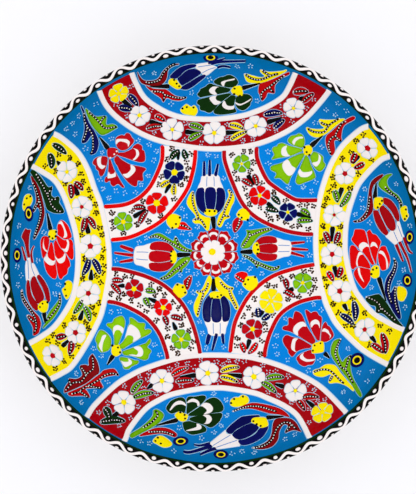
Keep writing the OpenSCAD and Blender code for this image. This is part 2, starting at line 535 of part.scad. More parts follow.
// The three petals at the base of a tulip.
module tulip_base(f) {
    c = curve(f[0], curve_steps);
    outline(c, f[1], concat(tulip_mid, other_side(tulip_mid)));
    outline(c, f[1], tulip_side);
    outline(c, f[1], other_side(tulip_side));
}

module tulip_white(f) {
    c = curve(f[0], curve_steps);
    w = f[1];
    difference() {
        outline(c, w, concat(tulip_flank, other_side(tulip_flank)));
        tulip_base(f);
        outline(c, w, concat(tulip_throat, other_side(tulip_throat)));
    }
}

// The three strokes at the end of a tulip, the outer two bending away from the middle.
module tulip_tips(f) {
    c = curve(f[0], curve_steps);
    w = f[1];
    for (k = [-1, 0, 1]) {
        side = [[tip_from, 0.08], [(1 + tip_from) / 2, 0.06], [1 - tip_step * abs(k), 0.02]];
        stroke = concat(side, other_side(side));
        bend = [for (e = stroke) k * (tip_gap + tip_flare * pow((e[0] - tip_from) / (1 - tip_from), 2))];
        outline(c, w, [for (i = [0:len(stroke) - 1]) [stroke[i][0], stroke[i][1] + bend[i]]]);
    }
}

// One disc for each petal of the rosette, as [distance from the middle, radius].
module rosette_ring(e) {
    for (a = rosette_turns)
        translate(rosette_c + turn([e[0] * rosette_r, 0], a)) circle(e[1] * rosette_r);
}

module rosette_petal_shapes() {
    difference() {
        rosette_ring(rosette_lobe);
        rosette_flower_shape();
    }
}

module rosette_arc_shapes() {
    difference() {
        rosette_ring(rosette_arc_out);
        rosette_ring(rosette_arc_in);
        rosette_flower_shape();
    }
}

module rosette_flower_shape() {
    reach = [flower_petal[0] * rosette_flower_r, 0];
    translate(rosette_flower_c) circle(flower_core * rosette_flower_r);
    for (i = [0:rosette_flower_petals - 1])
        translate(rosette_flower_c + turn(reach, flower_turn + i * 360 / rosette_flower_petals))
            circle(flower_petal[1] * rosette_flower_r);
}

// Path of the wave around the lip.
function wave_r(a) = cap_r + wave_out + wave_swing * sin(wave_n * a);
function wave_side(d) = [for (i = [0:wave_n * wave_steps - 1]) let (a = i * 360 / (wave_n * wave_steps))
    (wave_r(a) + d * sqrt(1 + pow(wave_swing * wave_n * cos(wave_n * a) / cap_r, 2))) * [cos(a), sin(a)]];

module wave_ring() {
    difference() {
        polygon(wave_side(wave_w / 2));
        polygon(wave_side(-wave_w / 2));
    }
}

module clay_dish() {
    color(clay)
        rotate_extrude() {
            translate([0, foot_h]) square([well_r, wall_t]);
            wall_profile(-wall_t, 0, 0, lip_slope);
            translate([cap_r, cap_z])
                rotate(lip_slope)
                    intersection() {
                        rotate(180) circle(half_t);
                        translate([0, -wall_t]) square([wall_t, 2 * wall_t]);
                    }
            polygon([
                [foot_r - foot_w - foot_flare, foot_h + foot_bite], [foot_r - foot_w, foot_edge],
                [foot_r - foot_w + foot_edge, 0], [foot_r - foot_edge, 0], [foot_r, foot_edge],
                [foot_r + foot_flare, foot_h + foot_bite]]);
        }
}

module turquoise_ground() {
    color(turquoise) inside_coat(0, coat_t);
}

module back_glaze() {
    color(white) {
        rotate_extrude() wall_profile(-wall_t - coat_t, -wall_t, back_from, lip_slope);
        translate([0, 0, foot_h - coat_t])
            cylinder(r = foot_r - foot_w - foot_flare - back_gap, h = coat_t);
    }
}

module lip_black_band() {
    color(black) rotate_extrude() lip_profile(0, coat_t);
}

module lip_green_line() {
    color(dark_green) rotate_extrude() wall_profile(0, coat_t, paint_slope, lip_slope);
}

module lip_white_wave() {
    color(white) on_lip(coat_t, coat_t + paint_t) wave_ring();
}

module lip_white_dots() {
    color(white)
        on_lip(coat_t, coat_t + paint_t)
            for (i = [0:wave_n - 1]) {
                rotate((i + 0.25) * 360 / wave_n) translate([dots_in_r, 0]) circle(dot_in_r);
                rotate((i + 0.75) * 360 / wave_n) translate([dots_out_r, 0]) circle(dot_out_r);
            }
}

module band(p, q, tint) {
    color(tint)
        painted(layer_1, layer_2)
            difference() {
                between(p, q);
                ribbon(p, contour_w);
                ribbon(q, contour_w);
            }
}

module contour(p) {
    color(white) painted(coat_t, coat_t + contour_t) ribbon(p, contour_w);
}

module lobe_lines() {
    for (p = [north_outer, south_outer, west_outer, east_outer]) ribbon(p, contour_w);
}

module red_arcs(p, q, tint) {
    color(tint)
        painted(layer_1, layer_2)
            difference() {
                union() {
                    ribbon(p, arc_w);
                    ribbon(q, arc_w);
                }
                lobe_lines();
            }
}

module white_band(p, q) {
    color(white)
        painted(layer_1, layer_2)
            difference() {
                between(p, q);
                ribbon(p, arc_w);
                ribbon(q, arc_w);
                lobe_lines();
            }
}

module blossoms(list, tint) {
    color(tint) painted(layer_2, layer_3) for (b = list) blossom(b[0], b[1], b[2], b[3]);
}

module hearts(list, tint) {
    color(tint) painted(layer_3, layer_4) for (b = list) translate(b[0]) circle(heart_r);
}

module leaves(long, small, tint) {
    color(tint) {
        painted(layer_1, layer_2)
            difference() {
                for (f = long) leaf(f[0], f[1]);
                for (s = ground_stems) stem(s[0], s[1], ground_stem_w);
            }
        painted(layer_2, layer_3)
            for (s = small) lens(s[0], s[1], band_leaf_w);
    }
}

module tulips(list, tint) {
    color(tint)
        painted(layer_1, layer_2) {
            difference() {
                for (f = list) tulip_base(f);
                for (e = calyx_list) calyx(e);
            }
            for (f = list) tulip_tips(f);
        }
}

module carnations(list, tint) {
    color(tint)
        painted(layer_1, layer_2)
            difference() {
                for (f = list) carnation(f);
                for (e = calyx_list) calyx(e);
            }
}

module north_red_band() { band(north_outer, north_inner, crimson); }
module south_red_band() { band(south_outer, south_inner, crimson); }
module west_yellow_band() { band(west_outer, west_inner, yellow); }
module east_yellow_band() { band(east_outer, east_inner, yellow); }
module north_outer_contour() { contour(north_outer); }
module north_inner_contour() { contour(north_inner); }
module south_outer_contour() { contour(south_outer); }
module south_inner_contour() { contour(south_inner); }
module west_outer_contour() { contour(west_outer); }
module west_inner_contour() { contour(west_inner); }
module east_outer_contour() { contour(east_outer); }
module east_inner_contour() { contour(east_inner); }
module nw_white_band() { white_band(nw_outer, nw_inner); }
module ne_white_band() { white_band(ne_outer, ne_inner); }
module sw_white_band() { white_band(sw_outer, sw_inner); }
module se_white_band() { white_band(se_outer, se_inner); }
module nw_red_arcs() { red_arcs(nw_outer, nw_inner, red); }
module ne_red_arcs() { red_arcs(ne_outer, ne_inner, crimson); }
module sw_red_arcs() { red_arcs(sw_outer, sw_inner, crimson); }
module se_red_arcs() { red_arcs(se_outer, se_inner, red); }

module rosette_petals() {
    color(crimson) painted(layer_1, layer_2) rosette_petal_shapes();
}

module rosette_white_arcs() {
    color(white) painted(layer_2, layer_3) rosette_arc_shapes();
}

module rosette_flower() {
    color(white) painted(layer_1, layer_2) rosette_flower_shape();
}

module rosette_heart() {
    color(yellow) painted(layer_2, layer_3) translate(rosette_flower_c) circle(rosette_heart_r);
}

module cobalt_tulips() { tulips(tulips_cobalt, cobalt); }
module crimson_tulips() { tulips(tulips_crimson, crimson); }

module white_tulip_middles() {
    color(white)
        painted(layer_1, layer_2)
            for (f = concat(tulips_cobalt, tulips_crimson)) tulip_white(f);
}

module crimson_carnations() { carnations(carnations_crimson, crimson); }
module lime_carnations() { carnations(carnations_lime, lime); }
module red_carnations() { carnations(carnations_red, red); }
module dark_green_carnations() { carnations(carnations_dark_green, dark_green); }

module white_crescents() {
    all_fans = concat(carnations_crimson, carnations_lime, carnations_red, carnations_dark_green);
    color(white) painted(layer_2, layer_3) for (f = all_fans) crescents(f);
}

module yellow_calyxes() {
    color(yellow) painted(layer_1, layer_2) for (e = calyx_list) calyx(e);
}

module yellow_berries() {
    color(yellow) painted(layer_1, layer_2) for (e = berry_list) oval(e[0], e[1], e[2]);
}

module white_blossoms() { blossoms(white_blossom_list, white); }
module yellow_blossoms() { blossoms(yellow_blossom_list, yellow); }
module cobalt_blossoms() { blossoms(blue_blossom_list, cobalt); }
module red_blossoms() { blossoms(red_blossom_list, red); }
module lime_blossoms() { blossoms(lime_blossom_list, lime); }
module crimson_blossoms() { blossoms(crimson_blossom_list, crimson); }

module yellow_hearts() {
    white_with_yellow = [for (i = [0:yellow_heart_count - 1]) white_blossom_list[i]];
    tinted = concat(blue_blossom_list, red_blossom_list, lime_blossom_list, crimson_blossom_list);
    hearts(concat(white_with_yellow, tinted), yellow);
}

module crimson_hearts() {
    hearts([for (i = [yellow_heart_count:len(white_blossom_list) - 1]) white_blossom_list[i]], crimson);
}

module yellow_leaves() { leaves(leaves_yellow, band_leaves_yellow, yellow); }
module lime_leaves() { leaves(leaves_lime, band_leaves_lime, lime); }
module crimson_leaves() { leaves(leaves_crimson, band_leaves_crimson, crimson); }
module red_leaves() { leaves(leaves_red, band_leaves_red, red); }
module dark_green_leaves() { leaves(leaves_dark_green, band_leaves_dark, dark_green); }
module cobalt_leaves() { leaves(leaves_cobalt, band_leaves_cobalt, cobalt); }

module black_stems() {
    color(black) {
        painted(layer_1, layer_2)
            difference() {
                for (s = ground_stems) stem(s[0], s[1], ground_stem_w);
                for (e = calyx_list) calyx(e);
            }
        painted(layer_2, layer_3) for (s = band_stems) stem(s[0], s[1], band_stem_w);
    }
}

module cobalt_eye_discs() {
    color(cobalt) painted(layer_1, layer_2) for (e = eye_list) oval(e[0], e[1], e[2]);
}

module yellow_eye_rings() {
    color(yellow)
        painted(layer_2, layer_3)
            difference() {
                for (e = eye_list) oval(e[0], e[1] * eye_ring, e[2] * eye_ring);
                for (e = eye_list) oval(e[0], e[1] * eye_pupil, e[2] * eye_pupil);
            }
}

module black_eye_pupils() {
    color(black)
        painted(layer_2, layer_3)
            for (e = eye_list) oval(e[0], e[1] * eye_pupil, e[2] * eye_pupil);
}

clay_dish();
turquoise_ground();
back_glaze();
lip_black_band();
lip_green_line();
lip_white_wave();
lip_white_dots();
north_red_band();
south_red_band();
west_yellow_band();
east_yellow_band();
north_outer_contour();
north_inner_contour();
south_outer_contour();
south_inner_contour();
west_outer_contour();
west_inner_contour();
east_outer_contour();
east_inner_contour();
nw_white_band();
ne_white_band();
sw_white_band();
se_white_band();
nw_red_arcs();
ne_red_arcs();
sw_red_arcs();
se_red_arcs();
rosette_petals();
rosette_white_arcs();
rosette_flower();
rosette_heart();
cobalt_tulips();
crimson_tulips();
white_tulip_middles();
crimson_carnations();
lime_carnations();
red_carnations();
dark_green_carnations();
white_crescents();
yellow_calyxes();
yellow_berries();
white_blossoms();
yellow_blossoms();
cobalt_blossoms();
red_blossoms();
lime_blossoms();
crimson_blossoms();
yellow_hearts();
crimson_hearts();
yellow_leaves();
lime_leaves();
crimson_leaves();
red_leaves();
dark_green_leaves();
cobalt_leaves();
black_stems();
cobalt_eye_discs();
yellow_eye_rings();
black_eye_pupils();
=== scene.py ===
# Hand painted ceramic dish: glaze coats, raised painting and lip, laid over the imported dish.
# The ornament is given in millimetres as seen from above: +X to the right, +Y up the picture.
import math
import random

import bpy
import numpy as np
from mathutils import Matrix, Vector
from mathutils.geometry import delaunay_2d_cdt


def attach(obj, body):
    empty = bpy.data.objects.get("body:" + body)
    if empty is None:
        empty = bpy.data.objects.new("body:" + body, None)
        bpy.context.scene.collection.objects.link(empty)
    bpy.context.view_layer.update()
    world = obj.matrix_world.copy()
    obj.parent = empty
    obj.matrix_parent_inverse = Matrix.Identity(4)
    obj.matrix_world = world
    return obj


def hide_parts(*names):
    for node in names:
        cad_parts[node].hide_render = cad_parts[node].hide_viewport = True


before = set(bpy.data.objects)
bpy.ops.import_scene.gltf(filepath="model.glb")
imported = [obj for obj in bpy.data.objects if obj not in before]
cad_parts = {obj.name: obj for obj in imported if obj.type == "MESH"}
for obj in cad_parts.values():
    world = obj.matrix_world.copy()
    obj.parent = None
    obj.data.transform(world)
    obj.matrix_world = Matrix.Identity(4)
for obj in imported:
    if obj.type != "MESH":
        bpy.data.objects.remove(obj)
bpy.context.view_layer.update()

# Sizes of the dish in millimetres, and its slopes in radians.
MM = 0.001
LIP_R = 150.0
WALL = 6.0
HALF = WALL / 2
WELL_R = 66.0
LIP_SLOPE = math.radians(55)
PAINT_SLOPE = math.radians(54.2)
FOOT_H = 6.0
FOOT_R = 68.0
FOOT_W = 8.0
COAT = 0.5
WALL_RHO = (LIP_R - HALF - WELL_R) / math.sin(LIP_SLOPE) - HALF
FLOOR_Z = FOOT_H + WALL
CAP_R = WELL_R + (WALL_RHO + HALF) * math.sin(LIP_SLOPE)
CAP_Z = FLOOR_Z + WALL_RHO - (WALL_RHO + HALF) * math.cos(LIP_SLOPE)
PAINT_R = WELL_R + (WALL_RHO - COAT) * math.sin(PAINT_SLOPE) - 0.2

# Heights of the painted layers over what carries them, and how far a stroke sinks into it.
BAND_H = 0.35
MOTIF_H = 0.45
TRIM_H = 0.28
CONTOUR_H = 0.62
ARC_H = 0.58
PALE_H = 0.16
CONTOUR_PALE_H = 0.4
ARC_PALE_H = 0.38
BLUE_LINE_H = 0.1
UNEVEN = 0.03
OVERLAP = 0.08
SINK = 0.2
DAB_SINK = 0.15

# Widths of the drawn lines, how far the pale outlines stand out beside motifs and lines, and the room that
# the sprinkled marks leave beside lines.
CONTOUR_W = 3.8
ARC_W = 3.3
BAND_LEAF_W = 4.9
VEIN_W = 1.5
BAND_VEIN_W = 1.7
VEIN_DOT_R = 0.52
PALE_EDGE = 0.24
PETAL_PALE_EDGE = 0.25
LINE_PALE = 0.7
TIP_PALE = 0.6
LINE_CLEAR = 0.5

# The lip's wave: its width, height and swing, its middle beyond the lip's crown, and how often it waves.
WAVE_W = 1.95
WAVE_H = 0.5
WAVE_SWING = 2.0
WAVE_OUT = 0.9
WAVES = 53

# Spacing of the points along an outline, and the width over which a colour thins at its edge.
STEP = 0.7
LINE_STEP = 0.8
EDGE_FADE = 2.0

# How much darker a colour is painted on bands, small leaves and the tulips of the lobes, and then on the
# long leaves: up the wall this is painted shade, and it is also the deeper tone that some of these motifs
# have.
SHADE_AND_DEEP_TONES = {"crimson": 2.8, "red": 4.5, "lime": 2.6}
LEAF_SHADE_AND_DEEP_TONES = {"crimson": 6.5, "red": 4.5, "lime": 2.6}

# How much broader than their outlines the carnations' petals were painted.
FAN_SWELL = {"crimson": 0.2, "lime": 0.2, "red": -0.03, "dark_green": 0.15}

# The table, the light in watts and the camera, in metres; the lens and its sensor in millimetres.
TABLE_SIZE = 8.0
TABLE_COLOUR = (0.91, 0.91, 0.925, 1)
SOFT_POWER = 1.7
SOFT_R = 1.1
SOFT_Z = 1.15
SOFT_SIZE = (0.9, 0.9)
CEILING_POWER = 0.25
CEILING_PLACE = (0.02, -0.23, 2.5)
CEILING_SIZE = (0.12, 0.05)
LAMP_AIM = Vector((0, 0, 0.03))
ROOM_COLOUR = (0.97, 0.97, 1.0, 1)
ROOM_LIGHT = 0.95
EYE_PLACE = (-0.00414, 0.00812, 0.7)
LENS = 66.9
SENSOR = 36.0

# Lines and outlines are rows of x, y, x, y, with a smooth curve through them.

# The contour lines of the four lobes, outer and inner, each along its middle.
lobe_lines = {
    "north": [
        [-83, 126, -81.5, 121, -77.2, 110, -67.9, 100.8, -51, 91, -30, 84.9, 0, 81.5, 30, 84.5, 51, 92,
         65.5, 101, 75, 110.5, 82, 119.5, 84, 125],
        [-60, 137, -58.3, 131.5, -55.5, 124.5, -50, 116, -40, 109.5, -30, 105.3, -20, 103.3, 0, 102.6,
         20, 104.7, 30, 107.3, 40, 111, 50, 116.7, 54.5, 123.5, 57.5, 130.5, 59.5, 137]],
    "south": [
        [-92, -116, -89, -111, -84.7, -104.7, -72, -93.3, -62, -87.3, -50, -82, -30, -76, -15, -73.4,
         0, -72.9, 15, -73.4, 30, -75, 52, -81.2, 72, -90.3, 82, -97.3, 93.5, -109, 97, -113],
        [-64, -131, -62.3, -126.7, -60, -121.3, -50, -110, -40, -104.3, -30, -100.5, -10, -97, 0, -96.5,
         10, -96.7, 30, -99.7, 40, -103.1, 50, -107, 58.7, -112, 63.5, -118, 68, -127.5, 69, -131]],
    "west": [
        [-119, 90, -114, 88.3, -108, 85.3, -98.7, 76.7, -92.7, 65.3, -88.5, 52, -84.3, 40, -80.1, 20,
         -78.4, 5, -78.1, -10, -79.3, -20, -83.2, -40, -87.5, -51, -94.7, -65.3, -102.7, -78, -108.7, -82,
         -114.7, -84.7, -119, -86],
        [-131, 66.5, -126, 64, -116.7, 58, -112.2, 52, -107.5, 40, -102.3, 20, -100.5, 5, -100.7, -10,
         -101.9, -20, -104.1, -30, -109, -40, -115.7, -50, -123.3, -56, -129.3, -59.5, -134, -61]],
    "east": [
        [115, 95, 110, 93.3, 104, 91.3, 94, 82, 87.3, 70.7, 82.3, 56.7, 78.5, 40, 76.7, 20, 76.7, 5,
         78.1, -10, 82.6, -30, 86.5, -40, 92, -50, 104, -62.7, 110, -67.7, 117.3, -72, 123.3, -75,
         127, -76.5],
        [129, 74.5, 124.3, 72.3, 118.7, 70, 109.3, 59.3, 104.1, 50, 98.7, 30, 97.5, 12, 98.3, 0, 102.8, -20,
         108.1, -30, 116, -40, 125.3, -46.2, 132, -49.5, 137, -51.5]]}

# The red arcs of the four corners, in the same way.
corner_arcs = {
    "nw": [
        [-38.2, 84, -38, 78.5, -39.2, 70.5, -46, 55.5, -52.5, 47.5, -60, 42.3, -68.7, 39.3, -82, 38],
        [-13.6, 81, -14, 73.5, -16, 62.7, -20.3, 50.5, -32, 34.3, -44, 24.3, -62, 15.7, -77, 13.4]],
    "ne": [
        [32.2, 83, 32, 78.7, 33.3, 72, 39.5, 59, 45.5, 53.3, 58.7, 44.7, 65.3, 43, 78, 43],
        [8, 81, 8.5, 72.5, 14, 57, 22, 40.3, 33.3, 29.4, 51, 21.3, 65.3, 18.1, 75, 17.8]],
    "sw": [
        [-79.6, -32.5, -72, -33.8, -62, -37.8, -49.5, -45.5, -40.5, -56.8, -35.4, -70, -34.1, -77],
        [-77, -8.3, -68.7, -9, -50.5, -14, -35.3, -22, -23, -35, -16, -49, -11.4, -64.7, -10, -73]],
    "se": [
        [81, -29.8, 75.3, -30, 62, -34, 50, -42.2, 43, -54.5, 39, -66.7, 38, -74.5],
        [76, -5, 62, -7.7, 43.3, -14.3, 28, -26.7, 17.3, -45, 13.8, -60, 12.5, -71]]}

# Blossoms as [centre, radius, petals, turn, radius of the heart]. The first white ones have yellow hearts,
# the rest of them crimson ones.
blossoms = {
    "white": [
        [[-54.3, 104.4], 8, 5, 60, 1.7], [[-30.6, 95.2], 8.6, 5, 20, 1.5], [[0.5, 93], 8.6, 5, 85, 1.8],
        [[31.2, 97.6], 8.3, 5, 100, 1.6], [[58, 109], 7.8, 5, 30, 1.3], [[-65.3, -104.8], 9, 5, 20, 2.2],
        [[-38.3, -91.2], 8.8, 5, 95, 1.9], [[-4.3, -86], 8.8, 5, 40, 2.1], [[30, -88.3], 8.5, 5, 70, 2.3],
        [[60, -97.3], 8.2, 5, 15, 1.4], [[-106.7, 62.7], 8.2, 5, 60, 1.5], [[-97.5, 37.8], 8, 5, 80, 1.5],
        [[-91.7, 8.7], 8.6, 5, 50, 2.3], [[-93, -26.3], 9, 5, 100, 2], [[-101.3, -54.7], 8.3, 5, 30, 2.2],
        [[-115.3, -69.7], 8, 5, 75, 2.1], [[110, 78.7], 8, 5, 40, 2.4], [[96.3, 62], 8.2, 5, 10, 2],
        [[89.7, 32], 8.2, 5, 60, 1.2], [[88.3, 2.7], 8.3, 5, 90, 2], [[93.7, -24.7], 8.6, 5, 30, 2.2],
        [[110, -52], 8.2, 5, 55, 1.8]],
    "yellow": [[[-68, 117.7], 7.8, 5, 100, 2], [[77.7, -110], 8, 5, 20, 2], [[43, -32.2], 9.2, 6, 20, 2]],
    "cobalt": [[[-29.2, 64], 8.3, 5, 50, 2.5], [[55.6, 34.2], 7.3, 5, 60, 1.4]],
    "red": [[[-42.5, 41], 8.4, 5, 15, 2.6], [[34.5, 46.6], 7.9, 5, 80, 1.7], [[-37.7, -37.3], 7, 5, 10, 2]],
    "lime": [
        [[-67.5, 27], 7.3, 5, 30, 1.9], [[21, 70.4], 6.9, 5, 60, 1.2], [[-24.2, -61.2], 7.4, 5, 95, 1.8],
        [[66.7, -18.7], 7.6, 5, 50, 1.5]],
    "crimson": [[[-59.5, -23.2], 7.1, 5, 85, 2.1], [[29.2, -53.2], 7.8, 5, 35, 1.9]]}
yellow_heart_count = 11

# Small leaves in pairs beside the blossoms, as [stalk end, tip]. The first red ones are the brightest.
band_leaves = {
    "yellow": [
        [[11.7, 98.7], [22, 95.7]], [[13, 88], [24.7, 93.7]], [[5.7, -84.7], [19, -81.7]],
        [[5.3, -88.7], [17.7, -92.3]], [[-39.5, 53], [-32, 57.5]], [[-29.5, 47], [-29, 55.5]]],
    "lime": [
        [[-18, 98.7], [-7.3, 95.3]], [[-18.3, 88], [-8.7, 92.7]], [[-60, -98.7], [-52.7, -90.7]],
        [[-58.7, -102], [-44.5, -99.5]], [[39.3, -89.7], [52, -88.3]], [[35.3, -92], [46, -99.3]],
        [[-97, -30.7], [-103, -40.7]], [[-95.7, -36], [-91.7, -46.7]], [[89.3, 50], [91.7, 41.3]],
        [[100.3, 49], [93.7, 38]], [[-51, -24.5], [-43.5, -25.5]], [[-52, -30], [-49, -36]],
        [[65, 36], [72, 31.5]], [[62.5, 27.5], [74, 27.5]]],
    "crimson": [
        [[-105, 54], [-104.7, 44]], [[-102, 55.5], [-96.5, 50]], [[-95.3, 29.7], [-97.7, 19.7]],
        [[-93.7, 30.3], [-88.3, 21.7]], [[-114, -57.7], [-107.3, -57]], [[-104, -60], [-104.7, -69.7]],
        [[82.7, 19.3], [86, 10.7]], [[93, 19.3], [90, 10.7]], [[53, -15.5], [55, -23.5]],
        [[-37.5, -43.5], [-34.5, -50.5]], [[-32, -44], [-23, -46.5]], [[-60, 37.5], [-51, 37.5]],
        [[-55.5, 25.5], [-49, 35.5]]],
    "red": [
        [[-43, 104.3], [-36, 101]], [[-31.3, -87.7], [-19, -82]], [[85, -10.3], [89, -17.3]],
        [[20.5, -63.5], [23, -71]], [[32.5, -63.5], [26, -71.5]], [[-49.3, 95.3], [-37.7, 97.3]],
        [[57.3, 119.3], [67.3, 118.7]], [[64, 112.7], [71.3, 117.3]], [[-27.7, -92], [-15, -91.3]],
        [[64.7, -101.7], [76, -100.7]], [[60.7, -103.3], [65.7, -110]], [[102.3, 76], [100.3, 69.3]],
        [[108.7, 68.7], [102.3, 65.7]], [[94.7, -6.7], [92.3, -14.7]], [[121, -54], [121.7, -67.3]],
        [[114, -62], [120.7, -67.3]], [[21, 58.5], [29, 53.5]], [[30, 62.5], [32.5, 54]],
        [[-76, -17], [-67.5, -17.5]], [[-76.5, -19.5], [-69.5, -27.5]], [[53, -25], [61, -29.5]]],
    "dark_green": [
        [[-78.7, -107.3], [-74, -114.7]], [[-80, -116], [-64, -117]], [[-114.3, 81], [-106.5, 75.3]],
        [[-116.7, 74.7], [-116.7, 64.7]], [[-32, 73.8], [-25.6, 80.5]], [[-19.8, 74], [-22.3, 81]],
        [[43.5, 46], [49.5, 40]], [[39, 37], [48.5, 34.5]]],
    "cobalt": [
        [[-61.3, 117.3], [-55.3, 110.7]], [[-68.3, 108.7], [-59.3, 107.7]], [[37.3, 105.3], [50, 106]],
        [[44.7, 96], [52, 101.3]], [[-92.7, -1], [-97.3, -12.7]], [[-90, -1], [-85, -12]],
        [[103.3, -32], [103.7, -46]], [[94, -42], [102.7, -48.7]], [[33, -37.5], [33.2, -44.5]],
        [[42, -42], [36, -46]]]}
bright_red_leaf_count = 5

# Black stems, as [narrow end, wide end].
band_stems = [
    [[-59.3, 110], [-66, 114]], [[-37.3, 98.7], [-47.3, 100.3]], [[-10, 93], [-21.3, 93.7]],
    [[19.3, 93.7], [8.7, 93]], [[50, 103], [39.3, 100]], [[66.3, 116], [61.3, 114.3]],
    [[-73, -113], [-68.5, -111.5]], [[-49, -96.5], [-45, -93.5]], [[-25.3, -88.7], [-13, -87.5]],
    [[10.7, -86.7], [21.5, -88.3]], [[45.3, -93.3], [52, -95]], [[67, -103.3], [72.5, -107.2]],
    [[-112.7, 70], [-110.3, 66.5]], [[-102, 54], [-100, 46]], [[-94.7, 28], [-93, 18]],
    [[-91, -8.7], [-91.3, -16.7]], [[-96.7, -38.7], [-98.7, -46]], [[-105.3, -59.3], [-109.8, -64]],
    [[101.3, 68.7], [104.7, 74.3]], [[92.7, 43.3], [94.7, 52]], [[88, 12], [88.7, 23.3]],
    [[91.3, -14.3], [90, -6]], [[98.7, -39.3], [96.3, -34]], [[116.7, -60.7], [113.7, -56.3]],
    [[-36.3, 48.3], [-32.5, 55.5]], [[-50.5, 36.5], [-60, 30.5]], [[30.5, 54.5], [25.5, 62]],
    [[45, 38], [40, 41]], [[73, 30], [62, 33]], [[-72, -21], [-66.5, -20.8]], [[-49, -30], [-42.8, -33]],
    [[-30.5, -48], [-28, -54]], [[52, -26.5], [60, -23]], [[34.5, -44.5], [37, -39.5]],
    [[25, -68.5], [27, -61]], [[-26.5, 73], [-26.5, 80]]]
ground_stems = [
    [[0.5, 21.5], [-0.5, 31]], [[0, -15.5], [0, -25]], [[20, 4.3], [29.3, 4.7]], [[-17.3, 2.5], [-27.5, 2]],
    [[-83.4, 88.4], [-77.6, 80.4]], [[80, 89.8], [71.6, 82.4]], [[-78.4, -78.8], [-74.2, -72]],
    [[85.6, -73.8], [81.6, -70]]]
lobe_stems = [
    [[33.6, 126.2], [20.4, 123.4]], [[-41.4, -121], [-26, -118]], [[-121, 33], [-119, 20.4]],
    [[124.6, -31], [120.4, -14]], [[-46, 123.6], [-32, 124.4]], [[50.6, -114.8], [38.4, -116.2]],
    [[-121.6, -46.8], [-122.7, -39]], [[117.4, 54.2], [117, 43.6]]]

# Yellow calyxes under the flowers, as [centre, reach along x, reach along y], then as outlines for the lobes.
calyx_list = [
    [[-2.1, 34], 5.5, 3.2], [[1.9, -27.9], 5.8, 3.2], [[32, 7], 3.2, 5], [[-30, 0.7], 2.9, 5.6],
    [[69.7, 79.7], 3.6, 4], [[-72.3, -68.7], 3.8, 4.6]]
calyx_outlines = [
    [-32.8, 127, -32, 128.6, -30, 129.4, -26.4, 128.6, -26, 127.6, -23.1, 124.6, -23.4, 123.4, -26.8, 122.6,
     -32.4, 125.6],
    [12.4, 121.8, 14, 124.2, 15.6, 124.9, 20, 124.8, 21.6, 119, 19.4, 117.8, 16.4, 119, 14.6, 119.2],
    [-28.6, -115, -24.4, -119, -20.2, -118.8, -18.6, -116, -19.2, -114.6, -22.2, -113.6, -25.4, -112.4],
    [27, -118, 28, -116.6, 30.6, -116, 37, -116, 38.6, -117, 39.6, -121, 36, -122.8, 33.8, -122.8,
     30.8, -121, 27.4, -119.6],
    [-119.6, 20.4, -115, 20.4, -115.6, 16, -116, 14.2, -118.6, 12.9, -120.8, 16.2],
    [-126.8, -34, -124.4, -30.9, -121.2, -30.7, -120, -34, -121, -38.6, -124, -39.3, -126.6, -36.6],
    [117.4, 44.2, 121, 44.2, 122.2, 43, 122.4, 39.4, 119, 35.2, 116.6, 36.8, 116.4, 42],
    [115.4, -8, 117.4, -5.4, 120.6, -6, 120.8, -13, 117.6, -15, 114.8, -12.6]]

# The two calyxes of the crimson carnations, and their dots.
calyx_crimson = [-78.2, 80, -75.6, 81.4, -72, 81, -70.6, 79.6, -71, 76.6, -76.2, 73.6, -78.4, 75.2]
calyx_crimson_spots = [[-71.6, 78.8], [-73.4, 76.6], [-76.3, 74]]
calyx_yellow = [
    73.2, -66, 73.6, -64, 80, -61.4, 81.6, -62.8, 81.6, -68.4, 79.6, -70, 74, -70.8, 72.6, -69.6]
calyx_yellow_spots = [[75, -64.9], [79.2, -63.2], [73.7, -68.7]]

# Yellow berries, as [centre, reach along x, reach along y], then as outlines for the lobes.
berry_list = [
    [[-30, 27.7], 5.8, 5.8], [[22.7, 32.7], 5.2, 5], [[28, -19.3], 6, 6], [[-25.7, -25], 5.6, 5.8]]
berry_outlines = [
    [-24.6, 109, -22, 106.2, -16, 105.2, -13.6, 105.2, -11.6, 108.6, -13.4, 112, -15, 112.2, -16.6, 111.3,
     -19.4, 113, -21.2, 112.6],
    [-43.8, -130.4, -40.6, -127.6, -36.4, -127.8, -30.2, -131.8, -30.6, -134, -35.6, -134.6, -40.6, -132.4],
    [12.4, -108.6, 12.6, -104.8, 16, -102.9, 18.4, -103, 21.4, -101.2, 25.4, -102.8, 25.6, -106.8,
     17.6, -109.8],
    [-134.8, 33.6, -132.8, 36.8, -131.2, 37.6, -129.5, 42, -130.8, 45.8, -134, 44.4, -135.8, 37],
    [-109.4, -17.6, -107, -16.4, -104.4, -18.6, -104.4, -23.4, -106.4, -29, -108.6, -30.4, -111.6, -23.4,
     -109.6, -21],
    [134.4, 37.2, 136.6, 37, 137.4, 32.4, 138.2, 30.4, 136.8, 27, 135.4, 26.7, 133.8, 30.6, 132.8, 35],
    [132.4, -19.9, 136, -20.8, 137.4, -24.6, 135.8, -29.4, 134.6, -30.6, 132.6, -30.4, 131.6, -28.8,
     131.4, -23]]

# Black dots on the calyxes and on the berries.
calyx_spots = [
    [-6.2, 35], [-3, 35], [0.8, 35], [-1.1, -30.2], [3, -29.1], [5.7, -27.9], [32.5, 9.7], [33.3, 6.2],
    [32.8, 3.3], [-31.5, 4.7], [-32, 1.7], [-31.5, -2.5], [67.2, 81.7], [68.8, 78.3], [70.8, 76.3],
    [-75.1, -65], [-71, -66.5], [-69.5, -70], [15.2, 123.2], [15, 119.7], [19.2, 118.5], [-24.5, -113.2],
    [-21.3, -114.9], [-20.9, -117.2], [-115.5, 19.2], [-115.8, 16], [-117.8, 14.5], [-119.8, 15.7],
    [119, -7.3], [116.7, -8.5], [115.7, -11.7], [-28.5, 128.3], [-26.8, 126.1], [-25, 124.5], [28.9, -118.7],
    [31.3, -120.5], [34.1, -121.5], [-120.8, -32], [-123.8, -32.8], [-125.3, -35.2], [121.5, 41.5],
    [120.3, 39.3], [119.1, 36.9]]
